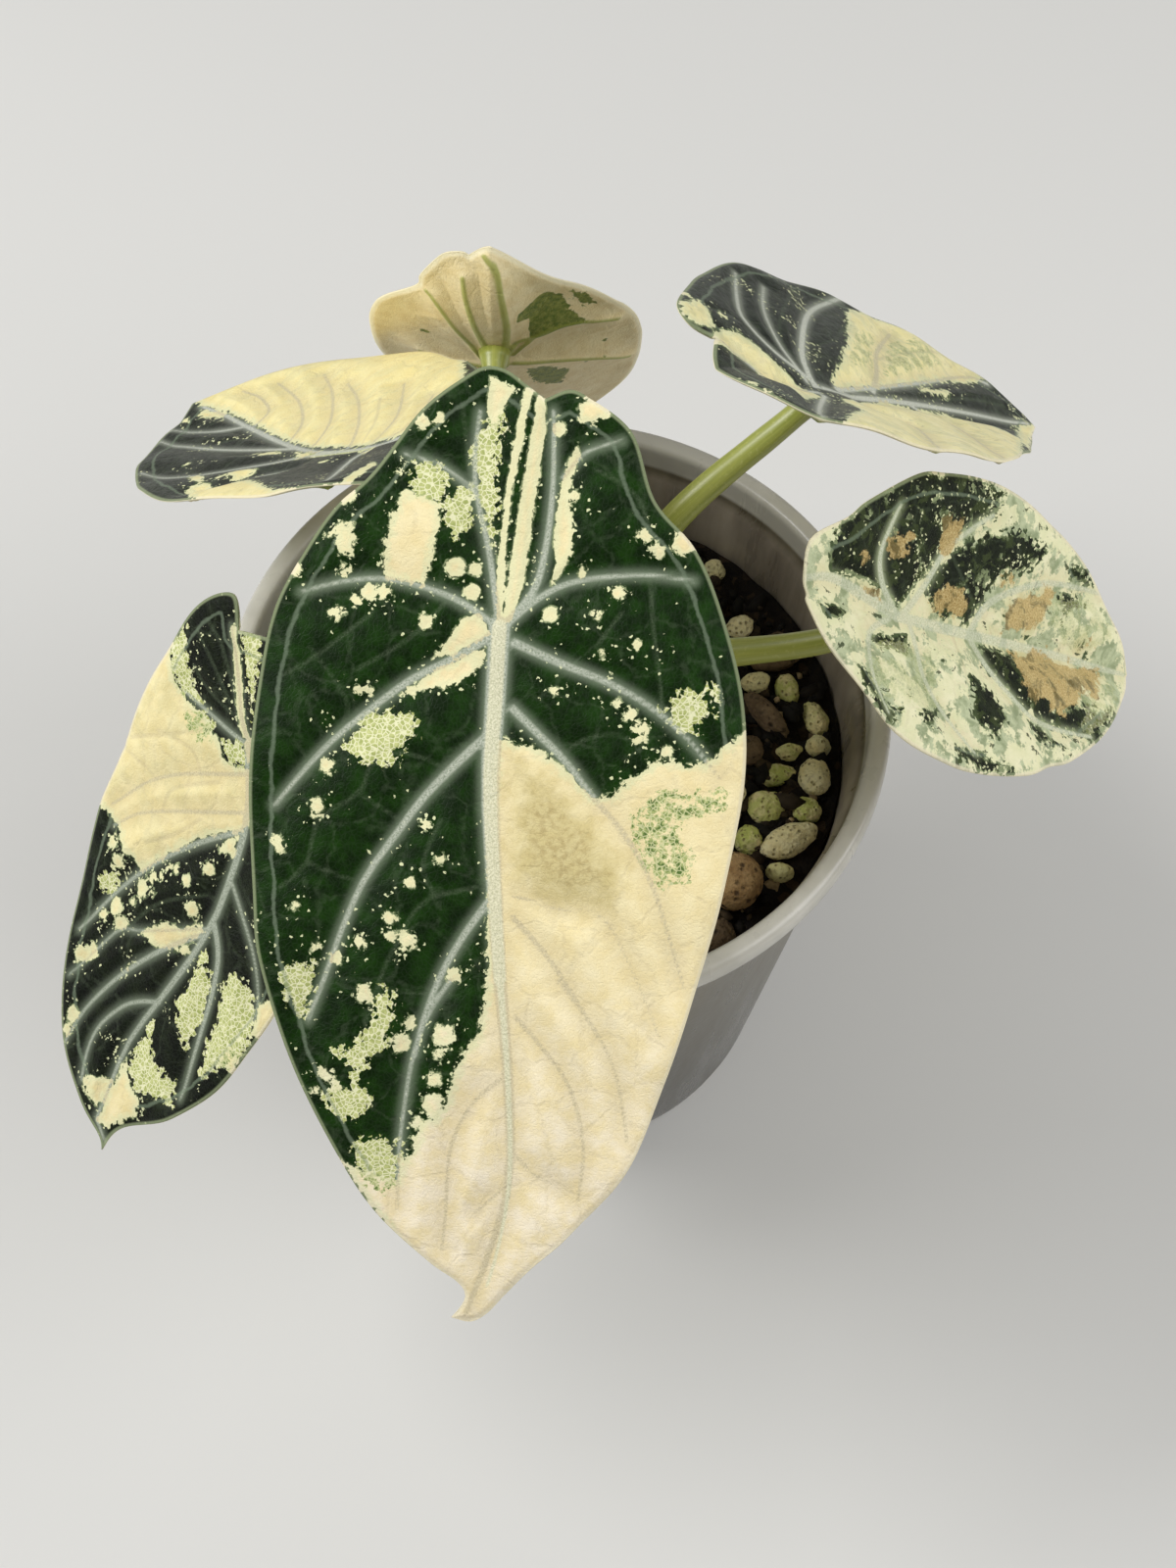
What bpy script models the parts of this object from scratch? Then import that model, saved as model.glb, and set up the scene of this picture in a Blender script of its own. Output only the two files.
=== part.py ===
# Potted alocasia: a nursery pot of soil with six peltate leaves, every piece its own closed body.
# Lengths below are in millimetres and become metres when a mesh is made.
import math
import random

import bmesh
import bpy
from mathutils import Matrix, Vector

for oldObject in list(bpy.data.objects):
    bpy.data.objects.remove(oldObject, do_unlink=True)

mm = 0.001

# Pot: a tapered shell with a rolled rim and a rounded foot
potSegments = 48
rimRadius = 60.0
rimInnerRadius = 56.1
rimTop = 118.0
rimSkirt = 112.8
bodyTopRadius = 56.2
footRadius = 40.9
wallThickness = 1.5
floorThickness = 2.2
drainHoleCount = 6
drainHoleRadius = 2.5
drainHoleCircle = 27.0
drainHoleTurn = 0.07

# Soil: a plug that follows the wall, its top raised by a formula
seatGap = 0.3
soilLevel = 99.0
soilRings = 11
holeDepth = 14.0

# Blades: thickness, the ridge that the midrib makes below and the groove that it makes above
bladeThickness = 0.9
midribRidge = 0.9
midribGroove = 0.25
posteriorRows = 7
anteriorRows = 17
columnShares = (0.0, 0.07, 0.3, 0.6, 0.87, 1.0)

# Petioles: radii at the soil and below the blade
petioleSides = 8
petioleSteps = 11
petioleBaseRadius = 3.3
petioleTopRadius = 2.0


def material(name, colour, roughness):
    made = bpy.data.materials.new(name)
    made.use_nodes = True
    shader = made.node_tree.nodes["Principled BSDF"]
    shader.inputs["Base Color"].default_value = (*colour, 1.0)
    shader.inputs["Roughness"].default_value = roughness
    return made


potPlastic = material("nursery_pot_plastic", (0.24, 0.22, 0.18), 0.35)
soilMix = material("dark_potting_mix", (0.02, 0.016, 0.012), 0.95)
stemGreen = material("petiole_green", (0.42, 0.44, 0.1), 0.4)
bladeSkin = material("variegated_blade", (0.12, 0.18, 0.08), 0.5)
claySkin = material("fired_clay_ball", (0.28, 0.15, 0.07), 0.85)
pumiceSkin = material("pumice_grain", (0.75, 0.62, 0.38), 0.8)
barkSkin = material("bark_chip", (0.1, 0.06, 0.035), 0.9)


def bodyObject(name, work, skin, smooth=True):
    bmesh.ops.recalc_face_normals(work, faces=work.faces)
    mesh = bpy.data.meshes.new(name)
    work.to_mesh(mesh)
    work.free()
    mesh.materials.append(skin)
    if smooth:
        mesh.shade_smooth()
        mesh.set_sharp_from_angle(angle=math.radians(40))
    made = bpy.data.objects.new(name, mesh)
    bpy.context.scene.collection.objects.link(made)
    return made


def cut(target, cutters):
    for cutter in cutters:
        change = target.modifiers.new("cut", "BOOLEAN")
        change.operation = "DIFFERENCE"
        change.solver = "EXACT"
        change.object = cutter
        cutter.hide_render = True
        cutter.display_type = "WIRE"


def lathe(profile):
    """Spin a line of (radius, height) points, from pole to pole, round the pot's axis."""
    work = bmesh.new()
    chain = [work.verts.new((radius * mm, 0.0, height * mm)) for radius, height in profile]
    edges = [work.edges.new(pair) for pair in zip(chain, chain[1:])]
    bmesh.ops.spin(work, geom=chain + edges, cent=(0, 0, 0), axis=(0, 0, 1), angle=math.tau,
                   steps=potSegments, use_merge=True)
    bmesh.ops.remove_doubles(work, verts=work.verts, dist=1e-7)
    return work


def bodyRadius(height):
    return footRadius + (bodyTopRadius - footRadius) * height / rimSkirt


def innerRadius(height):
    return bodyRadius(height) - wallThickness


def buildPot():
    profile = [
        (0.0, 0.0),
        (footRadius - 2.2, 0.0),
        (footRadius - 0.9, 0.5),
        (footRadius - 0.1, 2.0),
        (bodyRadius(6.0), 6.0),
        (bodyRadius(60.0), 60.0),
        (bodyTopRadius, rimSkirt - 0.6),
        (rimRadius - 1.4, rimSkirt),
        (rimRadius - 0.3, rimSkirt + 0.5),
        (rimRadius, rimSkirt + 1.6),
        (rimRadius, rimTop - 1.5),
        (rimRadius - 0.5, rimTop - 0.4),
        (rimRadius - 1.6, rimTop),
        (rimInnerRadius + 1.3, rimTop),
        (rimInnerRadius + 0.3, rimTop - 0.5),
        (rimInnerRadius, rimTop - 1.6),
        (rimInnerRadius - 0.5, rimTop - 6.2),
        (innerRadius(109.5), 109.5),
        (innerRadius(60.0), 60.0),
        (innerRadius(6.0), 6.0),
        (innerRadius(2.2) - 1.4, floorThickness + 0.6),
        (innerRadius(2.2) - 2.6, floorThickness),
        (0.0, floorThickness),
    ]
    pot = bodyObject("pot", lathe(profile), potPlastic)
    holes = []
    for place in range(drainHoleCount):
        angle = math.tau * (place + 0.5) / drainHoleCount + drainHoleTurn
        spot = Vector((drainHoleCircle * math.cos(angle), drainHoleCircle * math.sin(angle), 0.0))
        work = bmesh.new()
        bmesh.ops.create_cone(work, cap_ends=True, segments=12, radius1=drainHoleRadius * mm,
                              radius2=drainHoleRadius * mm, depth=6.0 * floorThickness * mm,
                              matrix=Matrix.Translation(spot * mm))
        holes.append(bodyObject("drain_hole_cutter_%d" % place, work, potPlastic, False))
    cut(pot, holes)


def soilHeight(x, y):
    """Lumps of the top dressing, fading to a slightly lower edge."""
    radius = math.hypot(x, y)
    lump = 1.1 * math.sin(x * 0.31 + 1.3) * math.sin(y * 0.27 + 0.4)
    lump += 0.7 * math.sin(x * 0.62 - y * 0.41 + 2.0)
    lump += 0.5 * math.sin(x * 0.93 + y * 0.85)
    edge = max(0.0, (radius - 42.0) / 10.0)
    return soilLevel + lump * (1.0 - 0.6 * edge) + 1.2 * (1.0 - radius / 52.0) - 1.0 * edge


# Leaves: where the petiole meets the blade, the heading of the tip, the droop of the midrib there,
# its change per millimetre toward the tip and toward the lobes, the roll, and for the left and right
# halves the fold at the midrib and the curl per millimetre (degrees).
# The halves run from the notch between the lobes to the tip, as (across, along) in millimetres.
leaves = {
    "front": {
        "joint": (-8.5, -29.1, 192), "heading": -95, "droop": 27, "tipCurl": 0.12, "lobeCurl": -0.1,
        "roll": 1, "folds": (3, 3), "curls": (0.2, 0.2), "relief": 0.45, "wave": 0.5,
        "base": (-2, -7), "lift": 48, "reach": 30,
        "right": [(-5, -35), (-2, -37), (1, -39), (4, -39.5), (7, -38), (14, -32), (21, -22), (26, -17),
                  (30, -11), (34.5, -1), (36.5, 10.5), (37, 28), (35.5, 44), (34, 53.5), (28.5, 69),
                  (21, 82.5), (14.5, 91.5), (6, 99), (1.5, 102), (0, 104), (0.5, 106), (2, 108)],
        "left": [(-5, -35), (-8.5, -36.5), (-11.5, -35.5), (-18.5, -30.5), (-22.5, -20.5),
                 (-29, -13.5), (-33.5, -4.5), (-37.5, 8.5), (-38.5, 22), (-36.5, 37), (-34, 49.5),
                 (-29, 68.5), (-24, 82.5), (-16, 93), (-10.5, 98.5), (-6, 104), (-3.5, 107),
                 (-1, 108.5), (2, 108)],
        "midrib": [(0, 0), (0.5, 12), (0, 24), (-1.5, 39), (-3, 54), (-5, 69), (-6, 84), (-5, 95),
                   (-3, 102), (-1.5, 106), (2, 108)],
    },
    "left": {
        "joint": (-50.7, -25.3, 150), "heading": -117, "droop": 49.5, "tipCurl": -0.15, "lobeCurl": 0.2,
        "roll": 16, "folds": (10, 0), "curls": (0.15, 0.35), "relief": 0.4, "wave": 0.4,
        "base": (-8.5, -3), "lift": 34, "reach": 24,
        "right": [(8.5, -16.5), (12, -21.5), (18, -17), (23.5, -4), (26, 7.5), (28.5, 22.5),
                  (28.5, 31), (27.5, 49.5), (21.5, 66), (12.5, 75), (6, 79), (4.5, 81)],
        "left": [(8.5, -16.5), (-3.5, -19), (-10.5, -17.5), (-16, -12.5), (-20.5, -4.5), (-24, 5),
                 (-25.5, 14), (-25.5, 23), (-22.5, 39), (-17.5, 55), (-8.5, 68), (2, 75.5), (4.5, 81)],
        "midrib": [(0, 0), (-2.5, 9), (-3.5, 19), (-1.5, 34), (3.5, 51), (7, 64), (7, 74), (4.5, 81)],
    },
    "upper_left": {
        "joint": (-20.3, 14.1, 180), "heading": 136, "droop": 50, "tipCurl": -0.15, "lobeCurl": 0.9,
        "roll": 5, "folds": (8, 3), "curls": (-0.35, 0.35), "relief": 0.45, "wave": 0.3,
        "base": (-7, 5.5), "lift": 48, "reach": 26,
        "right": [(0, -19), (2, -22.5), (5, -23.5), (8.5, -20), (12, -12), (15.5, -3), (19, 6.5),
                  (22.5, 16), (26, 26), (29.5, 37), (32, 49), (31.5, 62), (28.5, 73),
                  (24, 82.5), (17.5, 90), (5.5, 98.5)],
        "left": [(0, -19), (-3, -23.5), (-6.5, -26), (-11, -24.5), (-16, -18.5), (-20.5, -10.5),
                 (-23.5, -2), (-25, 8), (-25.5, 18), (-28.5, 36), (-29, 46), (-28, 56), (-25, 66),
                 (-20.5, 75.5), (-15, 83.5), (-8, 89.5), (5.5, 98.5)],
        "midrib": [(0, 0), (0.5, 15), (-1.5, 38), (0, 57), (2.5, 74), (4.5, 88), (5.5, 98.5)],
    },
    "back": {
        "joint": (-10.2, 64, 135), "heading": 82, "droop": 78, "tipCurl": -0.2, "lobeCurl": -0.86,
        "roll": -3.5, "folds": (13, 25), "curls": (0.13, 0.11), "relief": 0.3, "wave": 0.3,
        "base": (-0.5, 8), "lift": 32, "reach": 26,
        "right": [(-4, -27), (-1, -29.5), (1.5, -28.5), (12.5, -17.5), (21.5, -7.5), (27, 5), (28.5, 13),
                  (28.5, 21), (28, 30), (26, 39), (22.5, 46), (17, 53), (10.5, 59), (3, 63)],
        "left": [(-4, -27), (-5.5, -27.5), (-9, -26), (-13, -20), (-14, -16.5), (-20, -11.5),
                 (-22.5, -7.5), (-24, -1), (-24, 7.5), (-22.5, 15.5), (-19, 31), (-12.5, 46),
                 (-2.5, 59.5), (3, 63)],
        "midrib": [(0, 0), (0.5, 14), (0.5, 30), (1, 46), (3, 63)],
    },
    "upper_right": {
        "joint": (45.4, 28.1, 171), "heading": 31, "droop": 46, "tipCurl": 0, "lobeCurl": 0,
        "roll": 6, "folds": (0, 27), "curls": (0.45, -0.18), "relief": 0.4, "wave": 0.35,
        "base": (6.5, 4.5), "lift": 64, "reach": 27,
        "right": [(-7.5, -25.5), (-2.5, -30.5), (3, -33.5), (9, -34.5), (15, -32.5), (20.5, -28),
                  (27.5, -13), (29.5, 4), (28.5, 12), (23, 30), (19, 39), (15, 49), (9.5, 59), (4, 69),
                  (-2.5, 79.5)],
        "left": [(-7.5, -25.5), (-10, -30.5), (-14.5, -30), (-21.5, -19.5), (-27, -9.5), (-34, 8),
                 (-33.5, 24), (-31.5, 34.5), (-28, 45.5), (-23.5, 56.5), (-18, 66), (-12.5, 73),
                 (-7, 77.5), (-2.5, 79.5)],
        "midrib": [(0, 0), (-0.5, 12), (-1.5, 30), (-2.5, 50), (-3, 66), (-2.5, 79.5)],
    },
    "right": {
        "joint": (55.4, -10.9, 162), "heading": 13.5, "droop": 41, "tipCurl": 0, "lobeCurl": 0,
        "roll": 11.5, "folds": (25, 7), "curls": (0.04, 0.29), "relief": 0.4, "wave": 0.3,
        "base": (7.5, -3.5), "lift": 56, "reach": 30,
        "right": [(0, -21), (2, -21.5), (9.5, -17.5), (18.5, -10), (22.5, -4), (25, 3), (26, 11),
                  (24.5, 26), (22, 33), (20, 39.5), (13, 51.5), (4, 60.5), (-0.5, 63)],
        "left": [(0, -21), (-2.5, -22.5), (-9, -22), (-14, -14.5), (-17.5, -10.5), (-24, 0),
                 (-25.5, 6.5), (-26.5, 15.5), (-26, 23.5), (-23, 34), (-19, 43.5), (-8, 58),
                 (-0.5, 63)],
        "midrib": [(0, 0), (-0.5, 20), (-0.5, 43), (-0.5, 63)],
    },
}


def curveInto(rate, distance, start):
    """Advance (run, rise) along an arc that starts at an angle and turns at a steady rate."""
    if abs(rate) < 1e-9:
        return distance * math.cos(start), distance * math.sin(start)
    turned = start + rate * distance
    return (math.sin(turned) - math.sin(start)) / rate, (math.cos(start) - math.cos(turned)) / rate


class BladeSurface:
    """A blade bent along its midrib and curled across it."""

    def __init__(self, leaf):
        self.leaf = leaf
        heading = math.radians(leaf["heading"])
        self.ahead = Vector((math.cos(heading), math.sin(heading), 0.0))
        self.aside = self.ahead.cross(Vector((0.0, 0.0, 1.0)))

    def frame(self, along):
        leaf = self.leaf
        rate = math.radians(leaf["tipCurl"] if along > 0 else leaf["lobeCurl"])
        start = math.radians(leaf["droop"])
        run, fall = curveInto(rate, along, start)
        droop = start + rate * along
        up = Vector((0.0, 0.0, 1.0))
        normal = self.ahead * math.sin(droop) + up * math.cos(droop)
        roll = math.radians(leaf["roll"])
        across = self.aside * math.cos(roll) - normal * math.sin(roll)
        normal = normal * math.cos(roll) + self.aside * math.sin(roll)
        centre = Vector(leaf["joint"]) + self.ahead * run - up * fall
        return centre, across, normal

    def point(self, across, along, lift=0.0):
        centre, side, normal = self.frame(along)
        half = 1 if across > 0 else 0
        fold = math.radians(self.leaf["folds"][half])
        curl = math.radians(self.leaf["curls"][half])
        run, rise = curveInto(-curl, abs(across), fold)
        angle = fold - curl * abs(across)
        sign = 1.0 if across > 0 else -1.0
        tilt = math.sin(angle) * sign if across else 0.0
        lean = normal * math.cos(angle) - side * tilt
        return centre + side * (run * sign) + normal * rise + lean.normalized() * lift


def resample(points, count):
    """Spread count + 1 points evenly by length along a smooth line through the points."""
    fine = []
    for place in range(len(points) - 1):
        before = Vector(points[max(place - 1, 0)])
        first = Vector(points[place])
        second = Vector(points[place + 1])
        after = Vector(points[min(place + 2, len(points) - 1)])
        for step in range(6):
            t = step / 6.0
            a = (second - before) * 0.5
            b = (after - first) * 0.5
            fine.append(first * (2 * t ** 3 - 3 * t ** 2 + 1) + a * (t ** 3 - 2 * t ** 2 + t)
                        + second * (3 * t ** 2 - 2 * t ** 3) + b * (t ** 3 - t ** 2))
    fine.append(Vector(points[-1]))
    lengths = [0.0]
    for first, second in zip(fine, fine[1:]):
        lengths.append(lengths[-1] + (second - first).length)
    spread = []
    place = 0
    for step in range(count + 1):
        wanted = lengths[-1] * step / count
        while place < len(fine) - 2 and lengths[place + 1] < wanted:
            place += 1
        span = max(lengths[place + 1] - lengths[place], 1e-9)
        spread.append(fine[place].lerp(fine[place + 1], min(max((wanted - lengths[place]) / span, 0.0), 1.0)))
    return spread


def smoothStep(low, high, value):
    t = min(max((value - low) / (high - low), 0.0), 1.0)
    return t * t * (3.0 - 2.0 * t)


def buildBlade(name, leaf):
    """Bend a flat grid that runs from the notch to the tip and from margin to margin, then thicken it."""
    surface = BladeSurface(leaf)
    rows = posteriorRows + anteriorRows
    columns = len(columnShares) - 1
    notch = Vector(leaf["right"][0])
    tip = Vector(leaf["midrib"][-1])
    spine = [notch.lerp(Vector((0.0, 0.0)), step / posteriorRows) for step in range(posteriorRows)]
    spine += resample(leaf["midrib"], anteriorRows)
    margins = {-1: resample(leaf["left"], rows), 1: resample(leaf["right"], rows)}

    work = bmesh.new()
    bmesh.ops.create_grid(work, x_segments=2 * columns, y_segments=rows, size=1.0)
    number = work.verts.layers.int.new("number")
    tops = []
    lows = []
    for vert in work.verts:
        column = round(vert.co.x * columns)
        row = round((vert.co.y + 1.0) * rows / 2)
        share = columnShares[abs(column)]
        edge = margins[1 if column > 0 else -1][row]
        place = spine[row].lerp(edge, share)
        nearJoint = smoothStep(3.0, 12.0, place.length)
        toTip = smoothStep(0.0, 12.0, (tip - place).length)
        vein = -1.0 if row % 2 == 0 else 1.0
        relief = leaf["relief"] * vein * math.sin(math.pi * share) * nearJoint * toTip
        ripple = leaf["wave"] * share ** 3 * math.sin((edge.x + edge.y) * 0.23 + 0.7) * toTip
        lift = relief + ripple
        ridge = 0.0
        if share == 0.0:
            lift -= midribGroove * nearJoint
            ridge = midribRidge * (1.0 - 0.7 * smoothStep(0.0, tip.length, max(place.y, 0.0)))
            ridge *= 0.6 if place.y < 0.0 else 1.0
        vert[number] = len(tops)
        tops.append(surface.point(place.x, place.y, lift + bladeThickness * 0.5))
        lows.append(surface.point(place.x, place.y, lift - bladeThickness * 0.5 - ridge))
        vert.co = (place.x * mm, place.y * mm, 0.0)
    bmesh.ops.remove_doubles(work, verts=work.verts, dist=1e-7)
    bmesh.ops.triangulate(work, faces=work.faces, quad_method="SHORT_EDGE")
    grown = bmesh.ops.extrude_face_region(work, geom=work.faces[:], use_keep_orig=True)
    upper = {item for item in grown["geom"] if isinstance(item, bmesh.types.BMVert)}
    for vert in work.verts:
        vert.co = (tops if vert in upper else lows)[vert[number]] * mm
    bmesh.ops.triangulate(work, faces=work.faces, quad_method="FIXED")
    bodyObject(name, work, bladeSkin)
    return surface


def bezier(a, b, c, d, t):
    s = 1.0 - t
    return a * (s ** 3) + b * (3 * s * s * t) + c * (3 * s * t * t) + d * (t ** 3)


def tube(path, radii, sides):
    """Extrude a disc along a path, ring by ring."""
    work = bmesh.new()
    bmesh.ops.create_circle(work, cap_ends=True, segments=sides, radius=1.0)
    work.faces.ensure_lookup_table()
    cap = work.faces[0]
    disc = [loop.vert.co.copy() for loop in cap.loops]
    turnAxis = Vector((1.0, 0.0, 0.0))
    for place, centre in enumerate(path):
        before = path[max(place - 1, 0)]
        after = path[min(place + 1, len(path) - 1)]
        heading = (after - before).normalized()
        turnAxis = (turnAxis - heading * turnAxis.dot(heading)).normalized()
        other = heading.cross(turnAxis)
        if place:
            grown = bmesh.ops.extrude_face_region(work, geom=[cap, *cap.edges], use_keep_orig=place == 1)
            cap = next(item for item in grown["geom"] if isinstance(item, bmesh.types.BMFace))
        for loop, spot in zip(cap.loops, disc):
            loop.vert.co = (centre + (turnAxis * spot.x + other * spot.y) * radii[place]) * mm
    return work


def petiolePath(leaf, surface):
    centre, across, normal = surface.frame(0.0)
    top = centre - normal * (bladeThickness * 0.5 + midribRidge + seatGap)
    bottom = Vector((*leaf["base"], soilLevel - holeDepth))
    ground = Vector((*leaf["base"], soilLevel + 2.0))
    path = [bottom, bottom.lerp(ground, 0.5)]
    rise = ground + Vector((leaf["base"][0] * 0.35, leaf["base"][1] * 0.35, leaf["lift"]))
    near = top - normal * leaf["reach"]
    for step in range(petioleSteps + 1):
        path.append(bezier(ground, rise, near, top, step / petioleSteps))
    return path


def buildPetiole(name, leaf, surface):
    path = petiolePath(leaf, surface)
    radii = []
    for place in range(len(path)):
        share = max(0.0, (place - 2) / petioleSteps)
        radii.append(petioleBaseRadius + (petioleTopRadius - petioleBaseRadius) * share ** 0.8)
    bodyObject(name, tube(path, radii, petioleSides), stemGreen)


def holeCutter(name, leaf):
    bottom = Vector((*leaf["base"], soilLevel - holeDepth - seatGap))
    top = Vector((*leaf["base"], soilLevel + 8.0))
    radius = (petioleBaseRadius + seatGap) / math.cos(math.pi / petioleSides)
    return bodyObject(name, tube([bottom, bottom.lerp(top, 0.5), top], [radius] * 3, petioleSides), soilMix)


# Stones of the top dressing: kind, centre x and y, half sizes along, across and up, turn in degrees
stones = [
    ("clay", 31.3, -29.8, 5.2, 5.2, 5, 0),
    ("pumice", 41.8, -20.7, 5.2, 2.9, 2.8, 25),
    ("pumice", 37.9, -13.8, 3.3, 3.3, 3, 0),
    ("pumice", 46.7, -7.6, 3, 3.2, 2.8, 0),
    ("pumice", 45.2, -14.1, 3, 2.5, 2.5, 0),
    ("pumice", 31.2, -11.3, 2.9, 2.6, 2.5, 0),
    ("pumice", 34.1, -20.2, 2.4, 3.2, 2.5, 10),
    ("pumice", 28.9, -18, 2.1, 2.5, 2.1, 0),
    ("pumice", 39.7, -26.9, 2.7, 2, 2.1, 0),
    ("pumice", 39.2, -6.6, 3.9, 2.1, 2.2, 10),
    ("pumice", 48.1, -1.2, 2.3, 2.4, 2.2, 0),
    ("pumice", 47.8, 5.3, 2.3, 3.3, 2.4, 20),
    ("pumice", 42.9, 10.8, 2.3, 3.6, 2.4, 15),
    ("pumice", 37.2, 11.9, 2.7, 2, 2, 15),
    ("pumice", 42.3, -2.1, 2.6, 1.7, 1.9, 5),
    ("pumice", 34.5, 23.7, 2.7, 2, 2, 20),
    ("pumice", 30.2, 37.6, 2.2, 2.2, 2, 0),
    ("bark", 40.7, 18.6, 5.4, 3.4, 3.2, 20),
    ("bark", 38.8, 4.9, 5.6, 2.5, 2.5, -50),
    ("bark", 34.9, -2.5, 3.6, 2.6, 2.4, 35),
    ("bark", 27.8, -38.4, 3.4, 2.8, 2.6, 0),
    ("bark", 29.9, 11.2, 3.6, 2.6, 2.6, 0),
]


def stoneLump(name, spec, seed, grow, skin):
    kind, x, y, length, width, height, turn = spec
    work = bmesh.new()
    bmesh.ops.create_icosphere(work, subdivisions=2, radius=1.0)
    chance = random.Random(seed)
    phases = [chance.uniform(0.0, math.tau) for _ in range(6)]
    rough = 0.04 if kind == "clay" else 0.12
    spin = Matrix.Rotation(math.radians(turn), 3, "Z")
    centre = Vector((x, y, soilHeight(x, y) + height * 0.35))
    for vert in work.verts:
        p = vert.co.normalized()
        swell = 1.0 + rough * 0.6 * (math.sin(2.3 * p.x + phases[0]) + math.sin(2.9 * p.y + phases[1])
                                     + math.sin(3.4 * p.z + phases[2]))
        q = Vector((p.x * (length * swell + grow), p.y * (width * swell + grow), p.z * (height * swell + grow)))
        vert.co = (spin @ q + centre) * mm
    return bodyObject(name, work, skin)


def buildSoil(cutters):
    edgeRadius = innerRadius(soilLevel - 2.0) - seatGap
    profile = [(edgeRadius * ring / soilRings, soilLevel) for ring in range(soilRings + 1)]
    profile += [
        (innerRadius(6.0) - seatGap, 6.0),
        (innerRadius(2.2) - 1.7, floorThickness + 0.9),
        (innerRadius(2.2) - 2.9, floorThickness + seatGap),
        (0.0, floorThickness + seatGap),
    ]
    work = lathe(profile)
    for vert in work.verts:
        if vert.co.z > (soilLevel - 1.0) * mm:
            vert.co.z = soilHeight(vert.co.x / mm, vert.co.y / mm) * mm
    bmesh.ops.triangulate(work, faces=work.faces, quad_method="FIXED")
    soil = bodyObject("soil", work, soilMix)
    cut(soil, cutters)


buildPot()
soilCutters = []
for leafName, leaf in leaves.items():
    surface = buildBlade("blade_" + leafName, leaf)
    buildPetiole("petiole_" + leafName, leaf, surface)
    soilCutters.append(holeCutter("hole_cutter_" + leafName, leaf))
stoneSkins = {"clay": claySkin, "pumice": pumiceSkin, "bark": barkSkin}
kindCount = {}
for place, spec in enumerate(stones):
    kind = spec[0]
    kindCount[kind] = kindCount.get(kind, 0) + 1
    label = "%s_%02d" % (kind, kindCount[kind])
    stoneLump(label, spec, 40 + place, 0.0, stoneSkins[kind])
    soilCutters.append(stoneLump("dimple_cutter_" + label, spec, 40 + place, seatGap, soilMix))
buildSoil(soilCutters)
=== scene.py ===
# Potted alocasia: six variegated leaves on green petioles in a smoky nursery pot of dark mix.
# Lengths are millimetres in the dictionaries and formulas, and metres in the finished meshes.
import math
import random

import bmesh
import bpy
import numpy as np
from mathutils import Matrix, Vector, noise


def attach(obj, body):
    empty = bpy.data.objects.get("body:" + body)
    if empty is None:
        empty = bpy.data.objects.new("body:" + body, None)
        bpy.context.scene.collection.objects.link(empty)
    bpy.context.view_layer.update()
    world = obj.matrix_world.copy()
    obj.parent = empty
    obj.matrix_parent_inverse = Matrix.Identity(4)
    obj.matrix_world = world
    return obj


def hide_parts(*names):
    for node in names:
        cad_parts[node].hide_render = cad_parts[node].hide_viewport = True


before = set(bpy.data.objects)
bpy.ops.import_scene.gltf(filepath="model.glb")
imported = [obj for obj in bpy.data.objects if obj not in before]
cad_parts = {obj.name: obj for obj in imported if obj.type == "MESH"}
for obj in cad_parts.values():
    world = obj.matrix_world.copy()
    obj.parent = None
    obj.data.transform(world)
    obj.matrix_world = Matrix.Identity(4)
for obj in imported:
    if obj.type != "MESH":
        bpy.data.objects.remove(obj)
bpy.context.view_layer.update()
mm = 0.001
# settings that many nodes share
softStep = {"interpolation_type": "SMOOTHSTEP"}
ofColours = {"data_type": "RGBA", "out": 2}
print("frame loaded with", len(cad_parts), "nodes")


def linear(hexColour):
    # sRGB hex to the linear values that the shaders want
    parts = [int(hexColour[place:place + 2], 16) / 255 for place in (1, 3, 5)]
    return tuple(c / 12.92 if c <= 0.04045 else ((c + 0.055) / 1.055) ** 2.4 for c in parts) + (1.0,)


def add(tree, kind, inputs=(), out=0, **settings):
    # one node with its settings, values and links; gives back the socket it is wanted for
    node = tree.nodes.new("ShaderNode" + kind)
    for key, value in settings.items():
        setattr(node, key, value)
    for key, value in inputs.items() if isinstance(inputs, dict) else enumerate(inputs):
        if isinstance(value, bpy.types.NodeSocket):
            tree.links.new(value, node.inputs[key])
        else:
            node.inputs[key].default_value = value
    return node.outputs[out]


def layered(tree, colour, layers, **easing):
    # lays colours over one another; each layer is the value read, where the layer begins and is full, the
    # most of it, its colour, and any value that holds it back
    if isinstance(colour, str):
        colour = linear(colour)
    for value, low, high, most, over, *holds in layers:
        cover = add(tree, "MapRange", (value, low, high, 0.0, most), **easing)
        for hold in holds:
            cover = add(tree, "Math", (cover, hold), operation="MULTIPLY")
        over = linear(over) if isinstance(over, str) else over
        colour = add(tree, "Mix", {0: cover, 6: colour, 7: over}, **ofColours)
    return colour


def newMaterial(name, roughness, **fixed):
    made = bpy.data.materials.new(name)
    made.use_nodes = True
    shader = made.node_tree.nodes["Principled BSDF"]
    shader.inputs["Roughness"].default_value = roughness
    for key, value in fixed.items():
        shader.inputs[key.replace("_", " ")].default_value = value
    return made, made.node_tree, shader


def finish(name, mesh, material, slot, *nodes):
    # hands a finished mesh to the frame as one piece that rides on the pot
    made = bpy.data.objects.new(name, mesh)
    bpy.context.scene.collection.objects.link(made)
    mesh.materials.clear()
    mesh.materials.append(material)
    mesh.shade_smooth()
    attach(made, "root")
    if nodes:
        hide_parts(*nodes)
    return made


def smooth(low, high, value):
    t = np.clip((value - low) / (high - low), 0.0, 1.0)
    return t * t * (3.0 - 2.0 * t)


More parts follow.
